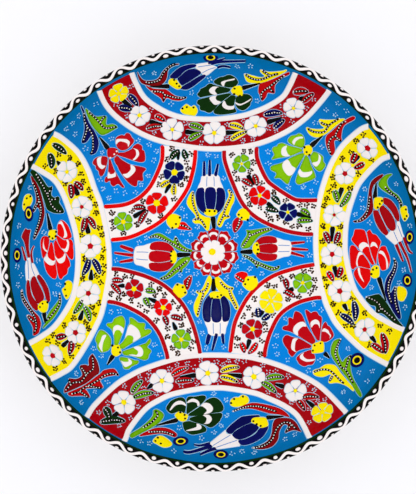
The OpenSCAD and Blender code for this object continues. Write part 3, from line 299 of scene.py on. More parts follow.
berry_spots = [
    [-22.8, 109.9], [-19.7, 110.9], [-14.8, 110.7], [15.2, -104.3], [21.7, -102.5], [13, -107],
    [-40, -128.5], [-41.7, -130.3], [-37.8, -132], [-130.8, 44.1], [-132.8, 42.7], [-134.5, 38.3],
    [-109.2, -19], [-109.3, -23.2], [-108.5, -27.7], [136.1, 34.7], [136.8, 30.1], [135.9, 28.1],
    [-25.3, 30.1], [-28.1, 25.3], [-30.8, 22.5], [18.9, 32.3], [21, 30.1], [25.5, 28.5], [25.9, -16.3],
    [31, -14.5], [23.7, -19.7], [-27, -20.1], [-23.1, -22], [-21.3, -26]]

# Eyes, as [centre, reach along x, reach along y], with a turn where one lies askew.
eye_list = [
    [[-2.3, 142], 4.7, 2.3], [[-23.7, -131.3], 5, 2.6], [[5, -139.3], 4.7, 2.3], [[-132.3, 32], 2.4, 5.1],
    [[-139.7, 2.3], 2.1, 4.8], [[139, 15], 2.3, 4.5], [[137.7, -15.7], 2.5, 4.3],
    [[103.7, -73.8], 5.1, 3.8, 50]]

# Long leaves as [colour, outline, veins].
long_leaves = [
    ["yellow", [-15.2, 49.6, -14.6, 46.5, -11.9, 34.8, -6.4, 30.5, -3.3, 30.1, -2.6, 27.8, -4.1, 20.4,
     -7.6, 23.9, -10.3, 25.9, -13.4, 25.9, -15.4, 27.4, -14.6, 29, -13.1, 29.7, -13.4, 32.1, -18.5, 38.3,
     -19.7, 41.8, -18.5, 45.7, -16.2, 49.2],
     [[-15.2, 49.6, -15.8, 43.3, -14.2, 37.1, -11.9, 32.1, -11.1, 29], [-14.6, 28.2, -11.9, 29, -8.8, 27.8,
      -5.7, 22.4]]],
    ["yellow", [11.4, 51.1, 13.4, 49.6, 15.3, 45.7, 14.9, 41.8, 13, 38.3, 11, 32.1, 12.2, 30.5, 8.3, 28.6,
     5.6, 23.5, 3.7, 23.9, 2.9, 26.2, 4.4, 31.7, 7.9, 36.3, 8.7, 39.5, 11.8, 46.5, 11, 50],
     [[11.4, 51.1, 13.4, 47.2, 8.7, 36.3, 7.5, 32.1, 3.7, 24.3], [7.5, 31.7, 11.8, 30.9]]],
    ["yellow", [-3, -13.4, -1.6, -16.6, -3.2, -23.6, -7.5, -29.8, -9.4, -34.4, -11.3, -43, -12, -44.2,
     -13.3, -42.2, -14.4, -38.3, -14.1, -34.4, -12.1, -29.8, -10.9, -27.4, -12.7, -25.9, -12.5, -24.7,
     -9.8, -24.7, -7.4, -22, -4.7, -15.8],
     [[-4, -18.5, -5.1, -22.8, -7.8, -25.1, -12.5, -25.1], [-7.4, -25.9, -12.1, -43]]],
    ["yellow", [1.8, -14, 4.2, -15, 8.9, -19.7, 12, -21.6, 14.7, -22.4, 14.3, -23.9, 13.5, -25.1,
     17.4, -33.7, 18.6, -37.6, 16.7, -38.3, 12.8, -32.1, 3.8, -24.3, 1.5, -18.9],
     [[5, -17.7, 7.3, -20.8, 10.8, -23.2, 14.7, -22.8], [11.6, -23.9, 12.8, -28.2, 17.4, -37.9]]],
    ["lime", [-48, 15.1, -45, 17.3, -41.8, 18.2, -38.3, 17.3, -31.5, 13, -29.6, 12.6, -28.4, 16, -25.5, 11.2,
     -20, 7, -16.4, 5.8, -16.8, 4.6, -25.5, 5.6, -34.5, 12, -43, 15.4],
     [[-48, 15.1, -44, 16.2, -40, 15.2, -23.1, 6.7, -17.3, 4.9], [-28.4, 15.6, -26.2, 9.3]]],
    ["lime", [-17.3, -0.4, -20.9, -6.2, -23.3, -8.2, -23.8, -11, -25.4, -9.6, -31.6, -14.2, -35.6, -16,
     -40.2, -15.6, -35, -12.4, -27, -3, -24, -0.7, -20.5, 0.4],
     [[-20, -2.2, -25.8, -7.1, -29.3, -9.3, -32.9, -12.9, -36.4, -15.1, -39.6, -15.6], [-26.2, -7.6,
      -24.2, -10.7]]],
    ["lime", [21.3, 7.6, 21.3, 10.7, 25.3, 17.3, 24.7, 20.9, 27.6, 20.4, 39.6, 22.2, 44.1, 21.7, 41.8, 20.1,
     33.2, 15.8, 27.8, 8.8, 24.7, 7.3],
     [[21.9, 8.5, 27, 16.2, 26.2, 19.7], [27.4, 16.6, 37.1, 20.5, 43.7, 21.7]]],
    ["lime", [21.6, 2.2, 24.7, 1.8, 28.6, -0.1, 31.7, -2.4, 43.3, -6.7, 47.2, -7.1, 49.2, -5.9, 48.8, -7.9,
     45.7, -9.4, 41.8, -9, 34, -5.9, 32.8, -7.9, 31.7, -5.5, 26.2, -0.9, 23.1, 0.7],
     [[22.3, 1.5, 26.2, 0.3, 30.1, -2.4, 38.7, -6.7, 44.1, -8.3, 49.2, -6.3], [31.3, -3.6, 32.4, -7.5]]],
    ["red", [-27.1, 22.7, -25.3, 25.8, -23.1, 26.7, -20.9, 25.8, -18.7, 23.1, -16.7, 21.2, -24.4, 21.5],
     [[-24.9, 24.4, -21.3, 23.6, -17.1, 21.3]]],
    ["crimson", [16.2, 19.1, 14.4, 22.7, 14.7, 26.7, 16.9, 29.5, 19.7, 30.4, 21.3, 28.4, 21.3, 25.3],
     [[20, 29.8, 18.7, 24.9, 16, 19.6]]],
    ["crimson", [-16.7, -13.3, -20, -15.1, -22.2, -17.8, -21.3, -21.3, -19.4, -23.8, -16.7, -17.8],
     [[-17.1, -13.8, -19.4, -17.8, -20, -22.7]]],
    ["red", [16.2, -13.3, 18.7, -11.1, 22.2, -10.7, 25.3, -12.4, 23.6, -18.7, 17.8, -16],
     [[16.9, -13.3, 23.3, -18]]],
    ["cobalt", [-93.6, 108.2, -92.4, 105.6, -89.6, 97.2, -86, 91.2, -84, 84, -86.4, 77.2, -90.6, 75.6,
     -89.2, 77.6, -88.4, 80.8, -88.4, 87.6, -89, 88.8, -92.4, 84.4, -94.8, 83.4, -95.6, 84, -95, 86.4,
     -93, 93.6, -93.2, 103.6, -94, 106.4],
     [[-92.3, 103, -92.4, 98, -91.2, 94.8, -92, 91.2, -94.8, 84], [-90.8, 94, -88.4, 90.8, -87.8, 87.2,
      -88.4, 79.2, -90.2, 76]]],
    ["lime", [-91, 106.6, -87.2, 103.6, -84.8, 102, -78, 102.8, -77.6, 101.2, -78, 97, -73.6, 97.8,
     -70.2, 96, -72, 94.4, -80.4, 89.8, -84.4, 91.6, -88.4, 96.8, -90.8, 103.2],
     [[-89.2, 104.4, -84.4, 100.2, -80.4, 95.6, -77.6, 94.6, -70.8, 96], [-81.8, 98.6, -80, 101.2,
      -78.2, 102.6]]],
    ["yellow", [93.6, 99.6, 85.6, 99.8, 80, 100.2, 76.4, 100.6, 78, 96.8, 80.4, 95.2, 79.6, 94.2, 76.4, 94,
     70.8, 94.8, 68.8, 95.8, 67.8, 95, 70.8, 90.4, 76.4, 88.4, 82.8, 91.2, 88, 95.6],
     [[89.8, 100.2, 84.4, 97, 82.8, 95.2, 80, 91.8, 73.2, 92.4, 68.8, 94.8], [77.6, 98.8, 79.6, 97.4,
      82.8, 96.4]]],
    ["red", [98.2, 100.8, 100, 98.8, 93.6, 95.2, 92.4, 88.4, 92.8, 85, 88, 85.8, 88.8, 78.4, 86.4, 75.2,
     82.6, 82, 82, 88.8, 86, 92.4, 90.8, 97],
     [[94, 97.8, 91.6, 96.4, 88.4, 89.2, 90, 86.8, 92.6, 84.8], [88.4, 88.8, 86, 87.6, 84.4, 85.2, 84, 81.6,
      86, 76]]],
    ["crimson", [-106, -94.4, -105.6, -91.2, -103.4, -87.6, -104, -86, -98.8, -86.8, -95.2, -84.4,
     -97.4, -78.6, -93.6, -77.6, -91.2, -78.6, -91.6, -75.6, -91.2, -72.8, -89.2, -70.4, -88, -71.6,
     -85.2, -76.4, -83.6, -83.2, -86.4, -86, -93.2, -90.8, -104, -94.8],
     [[-104.8, -93.2, -100.8, -89.2, -95.6, -88.8, -91.6, -83.6, -89.2, -82, -88, -79.6, -89, -71.6],
      [-102.4, -90, -103.8, -86.8], [-92.4, -84.4, -96.8, -78.8]]],
    ["red", [-103.6, -95.4, -100.4, -94.2, -93.2, -91.4, -83.2, -84.6, -80.8, -82.4, -74.8, -81.4,
     -72, -82.8, -69.8, -86.8, -72.4, -86.2, -79.2, -87.2, -82.8, -89.2, -81.6, -91.6, -80.6, -94.4,
     -87.2, -94, -92.4, -94, -91.2, -95.6, -88.8, -100, -93.6, -98.4, -100.4, -97.8, -102.6, -97],
     [[-100.8, -96.2, -96, -95.4, -94, -93.6, -84.4, -89.2, -81.6, -86.8, -78, -85.2, -74, -84.8, -70, -86],
      [-95.6, -95.4, -89.6, -99.8], [-90.4, -92.4, -81.2, -94.4]]],
    ["lime", [93.6, -59.4, 88.8, -61.2, 86.4, -67.2, 87.6, -74, 98, -89.2, 102, -96.4, 103.8, -98,
     104.6, -96.4, 103.6, -93.2, 100.4, -86.4, 99.2, -80, 99.8, -72.8, 100.4, -70.4, 96, -73.2, 94.4, -75.6,
     93.2, -74.8, 91.4, -68.8, 92.4, -62],
     [[93.4, -59.8, 90, -67.2, 89.6, -71.2, 92.8, -79.2, 95.6, -80.8, 100, -89.6], [96, -80, 98, -73.6,
      100, -70.8]]],
    ["yellow", [73, -83.6, 75.2, -82, 78, -81.2, 82.8, -78.2, 88.8, -78.6, 92.4, -83.6, 98.4, -90.8,
     99.8, -92.8, 99.6, -94.8, 95.6, -91.8, 89.6, -90.2, 83.8, -91, 84.8, -86.8, 86, -85.2, 84.8, -84.8,
     79.6, -87, 74.4, -86.2],
     [[73.4, -84, 79.6, -81.8, 85.6, -82.6, 92.4, -89.2, 94.2, -89.8], [87, -85.6, 84.2, -89.6]]],
    ["crimson", [-54.2, 131.2, -53.4, 131.6, -53, 130, -49.6, 127.2, -42, 127.8, -38.4, 130.4, -37, 132.6,
     -33, 136, -27, 138, -24.6, 138.2, -25, 137.6, -28, 137, -32.4, 134.4, -33.6, 129.6, -36.6, 125.8,
     -42, 124, -51.8, 125.4],
     [[-48.4, 126, -45, 126, -39, 127.8, -35.8, 132.4, -30.6, 136.6, -27, 137.8]]],
    ["red", [-49, 124.2, -44, 122.6, -37, 122.4, -34.4, 122.2, -28, 118.4, -22, 117.6, -19.6, 117.8,
     -20.4, 116.8, -25, 115.2, -30.4, 115.6, -34.2, 116.8, -36.8, 113.8, -38.6, 116.6, -44.6, 120.2],
     [[-44.4, 120.6, -37.6, 120.4, -35.6, 118.8, -26, 116.9, -20, 117.4], [-35.8, 118.8, -36.6, 114.6]]],
    ["yellow", [50.8, 133.4, 51.6, 132.8, 49.4, 131.6, 37.2, 127, 30.2, 126.4, 24.4, 127.4, 22, 131.4,
     22.8, 132.4, 33, 129.8, 36.6, 130.4, 33.4, 133, 33, 134.4, 34.4, 134.2, 39.2, 132.8, 48.4, 132.8],
     [[22.6, 132, 27, 129.4, 33.6, 128.4, 42.4, 130.8, 46, 131.2], [34.4, 133.8, 39.6, 130.8, 41.4, 130.4]]],
    ["red", [52.4, 131.8, 53.4, 130.4, 49, 128.8, 44.8, 125.4, 44, 123.4, 44.2, 119.8, 43, 119.4, 39.2, 120,
     38.2, 117.4, 35.2, 114.8, 33.4, 119, 32.4, 120.6, 32.6, 124.4, 33.6, 126, 36, 126.6, 42.6, 128.4],
     [[49.8, 129.8, 38.8, 122.8, 34.8, 119.8, 35.2, 115.4], [40.4, 123.2, 41.6, 121.4, 43.6, 120]]],
    ["lime", [-59.6, -126.4, -58.6, -127.3, -56.4, -127, -42.4, -121.2, -37.2, -117, -36.8, -113.6,
     -41.6, -110.6, -44.2, -111.4, -44, -112.6, -45.4, -116, -52, -121.4, -59, -124.8],
     [[-50.6, -121.8, -45.6, -119.2, -41.4, -115.6, -40.8, -114, -42.6, -111.4]]],
    ["red", [-53.4, -126.8, -45, -123.2, -38.6, -122.4, -32, -123.6, -27.4, -126.2, -26.4, -127.8,
     -28.4, -128.8, -33.4, -127, -40, -126.2],
     [[-46.4, -124.7, -36, -125.2, -28, -127.6]]],
    ["red", [13.6, -112.6, 15.6, -111.6, 25, -107.4, 33, -106.8, 48.4, -109.8, 55, -115, 47.6, -113.8,
     40.6, -113.4, 29, -110.8, 21, -111, 15, -112.8],
     [[14.4, -112.4, 24, -109.4, 33.4, -109, 46, -112]]],
    ["crimson", [27, -135.2, 32, -133.8, 38.4, -130.6, 41.4, -126.4, 43, -119.4, 46, -116.4, 55, -115.8,
     59.4, -118.4, 61.4, -122, 62.6, -123.6, 57.4, -123, 53, -124.4, 51.4, -125.2, 51, -124.4, 53.4, -120.8,
     51.6, -119.8, 49.6, -120.8, 47, -124.8, 45.8, -129.4, 41.4, -133.6, 34.4, -135.6],
     [[28.6, -135, 36, -133.2, 41.6, -129.4, 45.6, -122.4, 50, -119, 54.6, -118.6, 58, -121.2, 59.6, -122],
      [55.6, -119.8, 51.6, -124.4]]],
    ["dark_green", [-129.4, 61.6, -127.6, 62.8, -124, 59, -120, 52, -118.4, 51.4, -116.8, 52, -117.8, 46,
     -115.6, 44, -114, 45, -112.8, 44.6, -112.4, 42.8, -112.9, 40.6, -110.6, 36.6, -110, 33.2, -116, 32.8,
     -120, 34.6, -121.4, 36.6, -122.6, 42, -125, 51, -129, 59.4],
     [[-126, 59.6, -119.8, 44.8, -118, 39, -114.8, 35, -110.4, 33.8], [-119.8, 46.8, -117.2, 50.6],
      [-117.4, 42.6, -115.4, 42.8, -113.6, 43.8]]],
    ["crimson", [-129.6, 58, -129, 58.6, -128, 57, -124.6, 48.6, -122.6, 35.4, -123.2, 28.6, -125.4, 21.6,
     -129.6, 13.2, -129.6, 16.8, -126.2, 27, -125.4, 33.4, -127, 36.8, -129, 33.4, -129.8, 33.6,
     -128.8, 37.6, -127.8, 39.4, -127.4, 45, -129, 54],
     [[-128.6, 53.4, -126.8, 48, -124.8, 33, -129.6, 14.4], [-126, 40.6, -129.5, 34]]],
    ["lime", [-113.2, -25, -111.7, -33, -115.4, -42, -121.6, -49.4, -122.9, -50.4, -122.6, -48.6,
     -121.4, -46.6, -119.8, -40, -113.4, -30.4],
     [[-113, -26.4, -113.2, -34.4, -121, -45.4]]],
    ["red", [-136.6, -22, -136, -25.4, -134, -30.2, -129.2, -37.8, -125.8, -42, -124.2, -47, -124.9, -52,
     -125.4, -53.6, -128.4, -54.8, -129, -49, -133.2, -40.8, -131.2, -40.6, -129.2, -41.8, -132.8, -36,
     -135.8, -30.8, -137.2, -25],
     [[-136.7, -23.4, -135.4, -29.6, -129, -40.4, -126.8, -49, -128.2, -53.4], [-132.6, -40.8, -129.2, -44.6,
      -127.4, -45.8]]],
    ["crimson", [120.8, 60.4, 121, 58.4, 116.2, 53.2, 115, 47.6, 116.2, 38.6, 115.4, 33, 110, 27.4,
     104.8, 26.2, 103, 27.4, 107.2, 28.6, 111.6, 34.4, 112.4, 40, 113.4, 53, 116, 57.6],
     [[113.7, 44.2, 112.4, 33.8, 109.4, 28.8, 104, 26.8]]],
    ["lime", [126.3, 60.2, 126.4, 59, 125.4, 58.4, 124, 55.4, 125, 51.4, 127.8, 47.8, 131.4, 44.6,
     134.2, 38.6, 132.8, 35.6, 132.4, 39.2, 130.2, 43.4, 126, 46, 120.2, 50.6, 118.8, 54.6, 122.4, 59.4],
     [[123.2, 51, 125.8, 47.6, 130, 43.8, 133, 39.2, 133.3, 37]]],
    ["cobalt", [129.8, 0.4, 132, -3.4, 131.4, -9, 128.2, -18, 127.2, -24, 127.6, -25, 128.6, -23.6,
     130.6, -20, 131.4, -23, 131.2, -26, 133.1, -41, 131.4, -42.8, 128.4, -37.6, 124.8, -28.4, 124, -21.6,
     125.4, -14.6, 128.8, -8.4, 130.4, -2.6],
     [[130.2, -0.6, 130.8, -3.4, 129.8, -9.6, 127.2, -15.6, 126, -22.6, 127.2, -29.8, 128.4, -32.8],
      [130.8, -20.6, 130, -27.6, 130.8, -35.6, 132.2, -40]]],
    ["dark_green", [111.8, -28.4, 113.4, -28, 119.4, -26.2, 121.4, -27, 125.4, -32.8, 131.2, -44, 133.8, -48,
     130.4, -48, 122.6, -40.4, 119, -40, 117.8, -39.2, 118, -35.6, 116.8, -34.6, 114.8, -34.4, 111.6, -31],
     [[112, -28.6, 117, -30.6, 120.6, -34, 121.4, -36, 130.4, -45], [121.2, -36.6, 118.4, -39.4]]]]

# Tulips of the middle as [colour, points from the calyx to the tips, widest width, tips], with each tip as
# [from, to, first width, last width].
middle_tulips = [
    ["cobalt", [[-2.1, 33], [-2.3, 48], [-2.3, 61], [-2.4, 73.6]], 21.6, [[[-7, 60.5], [-7, 72.5], 2.6, 1.6],
     [[-3, 60.5], [-2.8, 73.5], 2.8, 1.5], [[1.3, 60.5], [3.4, 70.5], 2.7, 1.6]]],
    ["cobalt", [[2, -27], [2.2, -43], [2.5, -57], [2.3, -70]], 20.3, [[[-3, -57], [-5, -65], 3.6, 2.8],
     [[2.5, -56], [-1, -69.5], 3, 1.6], [[6.5, -56], [7.5, -64.5], 2.8, 1.8]]],
    ["crimson", [[31, 7], [43, 7], [57, 7], [71, 6.4]], 18.3, [[[57.5, 10.8], [68.5, 11.8], 2.6, 1.6],
     [[57.5, 6.8], [71, 6], 2.8, 1.5], [[57.5, 4], [68, 1], 2.6, 1.6]]],
    ["crimson", [[-29, 1], [-43, 1], [-58, 1.8], [-73, 2.6]], 22, [[[-60, 5.3], [-70, 9], 3.2, 2.6],
     [[-60, 1.8], [-74.5, 3.8], 2.8, 1.6], [[-60, -1.5], [-70.5, -3.2], 2.8, 1.8]]]]

# Tulips of the lobes as [colour, white part, petals, tips, blue lines], with each tip as [line, first width,
# last width].
lobe_tulips = [
    ["cobalt", [-13, 138, -8, 138.9, -2.6, 139.4, -2, 138.2, 2.4, 136.6, 0.6, 135.4, -5.8, 131.4, -10, 134,
     -13, 136],
     [[-31.4, 129.8, -30, 132, -23.4, 136.4, -15, 138.2, -12.2, 137, -20, 134.6, -26.4, 129.6],
      [-26, 129, -24.6, 130.4, -19, 134.6, -13, 135.4, -9, 133.4, -12, 131, -21, 126, -23.4, 125.4],
      [-22.6, 124.6, -20, 126, -11, 130.8, -6.4, 132.2, -5.8, 131.2, -8, 129.4, -18, 123, -24, 123]],
     [[[-4.5, 138.6, 8.2, 141.6], 1.6, 1], [[-2, 138.4, 5, 139.7, 22.8, 139.8], 1.8, 1.2],
      [[2.6, 136.4, 6.6, 137.2, 12.2, 136.4], 1.6, 1.2]],
     [[-11.6, 136.6, -1, 138], [-8.4, 133, -4, 135, 1.4, 136.5]]],
    ["cobalt", [8.6, -124.8, 9, -126.6, 10.6, -127.4, 12.6, -127.2, 15.6, -129.8, 17.4, -130.4, 19, -134,
     17, -134.6, 7, -136, 2, -136.4, 0.6, -135.4, -1.8, -134.4, -2.8, -132.8, 0, -130.8, 6, -126.6],
     [[9, -125.4, 12, -122, 18.6, -117.2, 22, -115.8, 31, -114.8, 33.6, -115, 33.4, -115.8, 30, -116.4,
       28, -117.6, 27.4, -119.4, 25, -120.4, 17, -124, 12.4, -127.2],
      [13.4, -127.6, 18, -124, 25, -120.8, 28, -120.2, 32.6, -122.6, 29, -126.4, 22.6, -129.6, 17, -130.4],
      [17.4, -131.2, 22.4, -130.2, 29.6, -127, 33.4, -123.2, 37.6, -122.2, 39.2, -121.6, 39.2, -123,
       35, -128.4, 27.4, -132.4, 20.4, -133.8]],
     [[[-2.4, -133, -10, -134.2, -14.4, -133.5], 2, 1], [[-1, -134.4, -16, -137.8, -21.8, -137.4], 2.4, 1.6],
      [[2, -135.9, -3, -137, -10, -139.4], 2.2, 1.4]],
     [[-1, -134.5, 12.4, -127.7], [1.4, -135.4, 17, -130.9]]],
    ["crimson", [-134.6, -2, -135, -6, -134.8, -11, -134.3, -16, -133.4, -15.6, -132.4, -16.6, -130.8, -13.6,
     -128, -14, -127.4, -12.6, -126.4, -12, -127.6, -9, -130, -3.6, -131.4, -3.6, -132.2, 0, -133.6, 0.6,
     -134, -2],
     [[-133.4, -15.2, -134.2, -20, -133.2, -28, -130.4, -34.6, -127, -37.8, -126.9, -33, -130.7, -26.6,
       -132.5, -16.6],
      [-130.4, -13.2, -129, -13, -127.6, -16.6, -123.6, -25.6, -123.2, -30, -124.6, -31, -126.4, -32.8,
       -127.8, -31, -130.5, -24.6, -131.7, -17.6],
      [-127.2, -12, -126, -12.4, -122.8, -17, -120.2, -23, -119.2, -29, -119.3, -31.4, -120.2, -32,
       -121, -30.6, -122, -30, -122.2, -28, -124.1, -21.8, -127.1, -15.6, -127.9, -13.4],
      [-134.6, 21.3, -133.6, 20.4, -131.6, 20.5, -132.4, 16.4, -132.9, 8, -132.2, 1, -133.6, 0.8, -134.2, 4,
       -135.6, 12, -137, 15.6]],
     [[[-134.7, -1.8, -137, 8.6], 1.6, 1], [[-130.7, -3.4, -131.4, 2, -131, 6, -129.6, 9.2], 1.6, 0.9]],
     [[-133.5, -1, -132.8, -15], [-131.6, -3, -130.8, -8, -129, -12.8]]],
    ["crimson", [132.8, 26.4, 133.8, 23, 135.4, 17, 136.2, 15.4, 135, 15, 134.6, 12.4, 132.4, 11.6,
     131.4, 9.6, 130.4, 9.8, 126.6, 13.8, 124.6, 16, 125.8, 17, 128, 20, 129.8, 19.8, 131.2, 21.6,
     131.4, 26.4],
     [[122.6, 43.6, 126.8, 42, 130.4, 37, 132.6, 31, 132.4, 26.4, 130.6, 28, 127.9, 33.6, 124.3, 38.3,
       122.9, 39.4],
      [122.2, 38.2, 123.4, 37.4, 127.2, 32.8, 130, 27, 130.7, 21.4, 128.4, 19.8, 125.2, 23.4, 120.4, 35],
      [116.6, 34.8, 119.6, 34.4, 120.3, 32.4, 125.5, 20.8, 126.4, 18.8, 125, 16.6, 121.4, 20, 118.2, 26,
       116.6, 32]],
     [[[131.2, 10.4, 135.5, -2.4], 2.2, 1.2], [[133.2, 12, 138, 0, 140.2, -10.2], 2, 0.9],
      [[135.8, 15, 138.6, 6, 141, 3.4], 1.8, 1.3]],
     [[129.6, 19.4, 132.4, 12], [131.8, 24, 134.8, 15]]]]

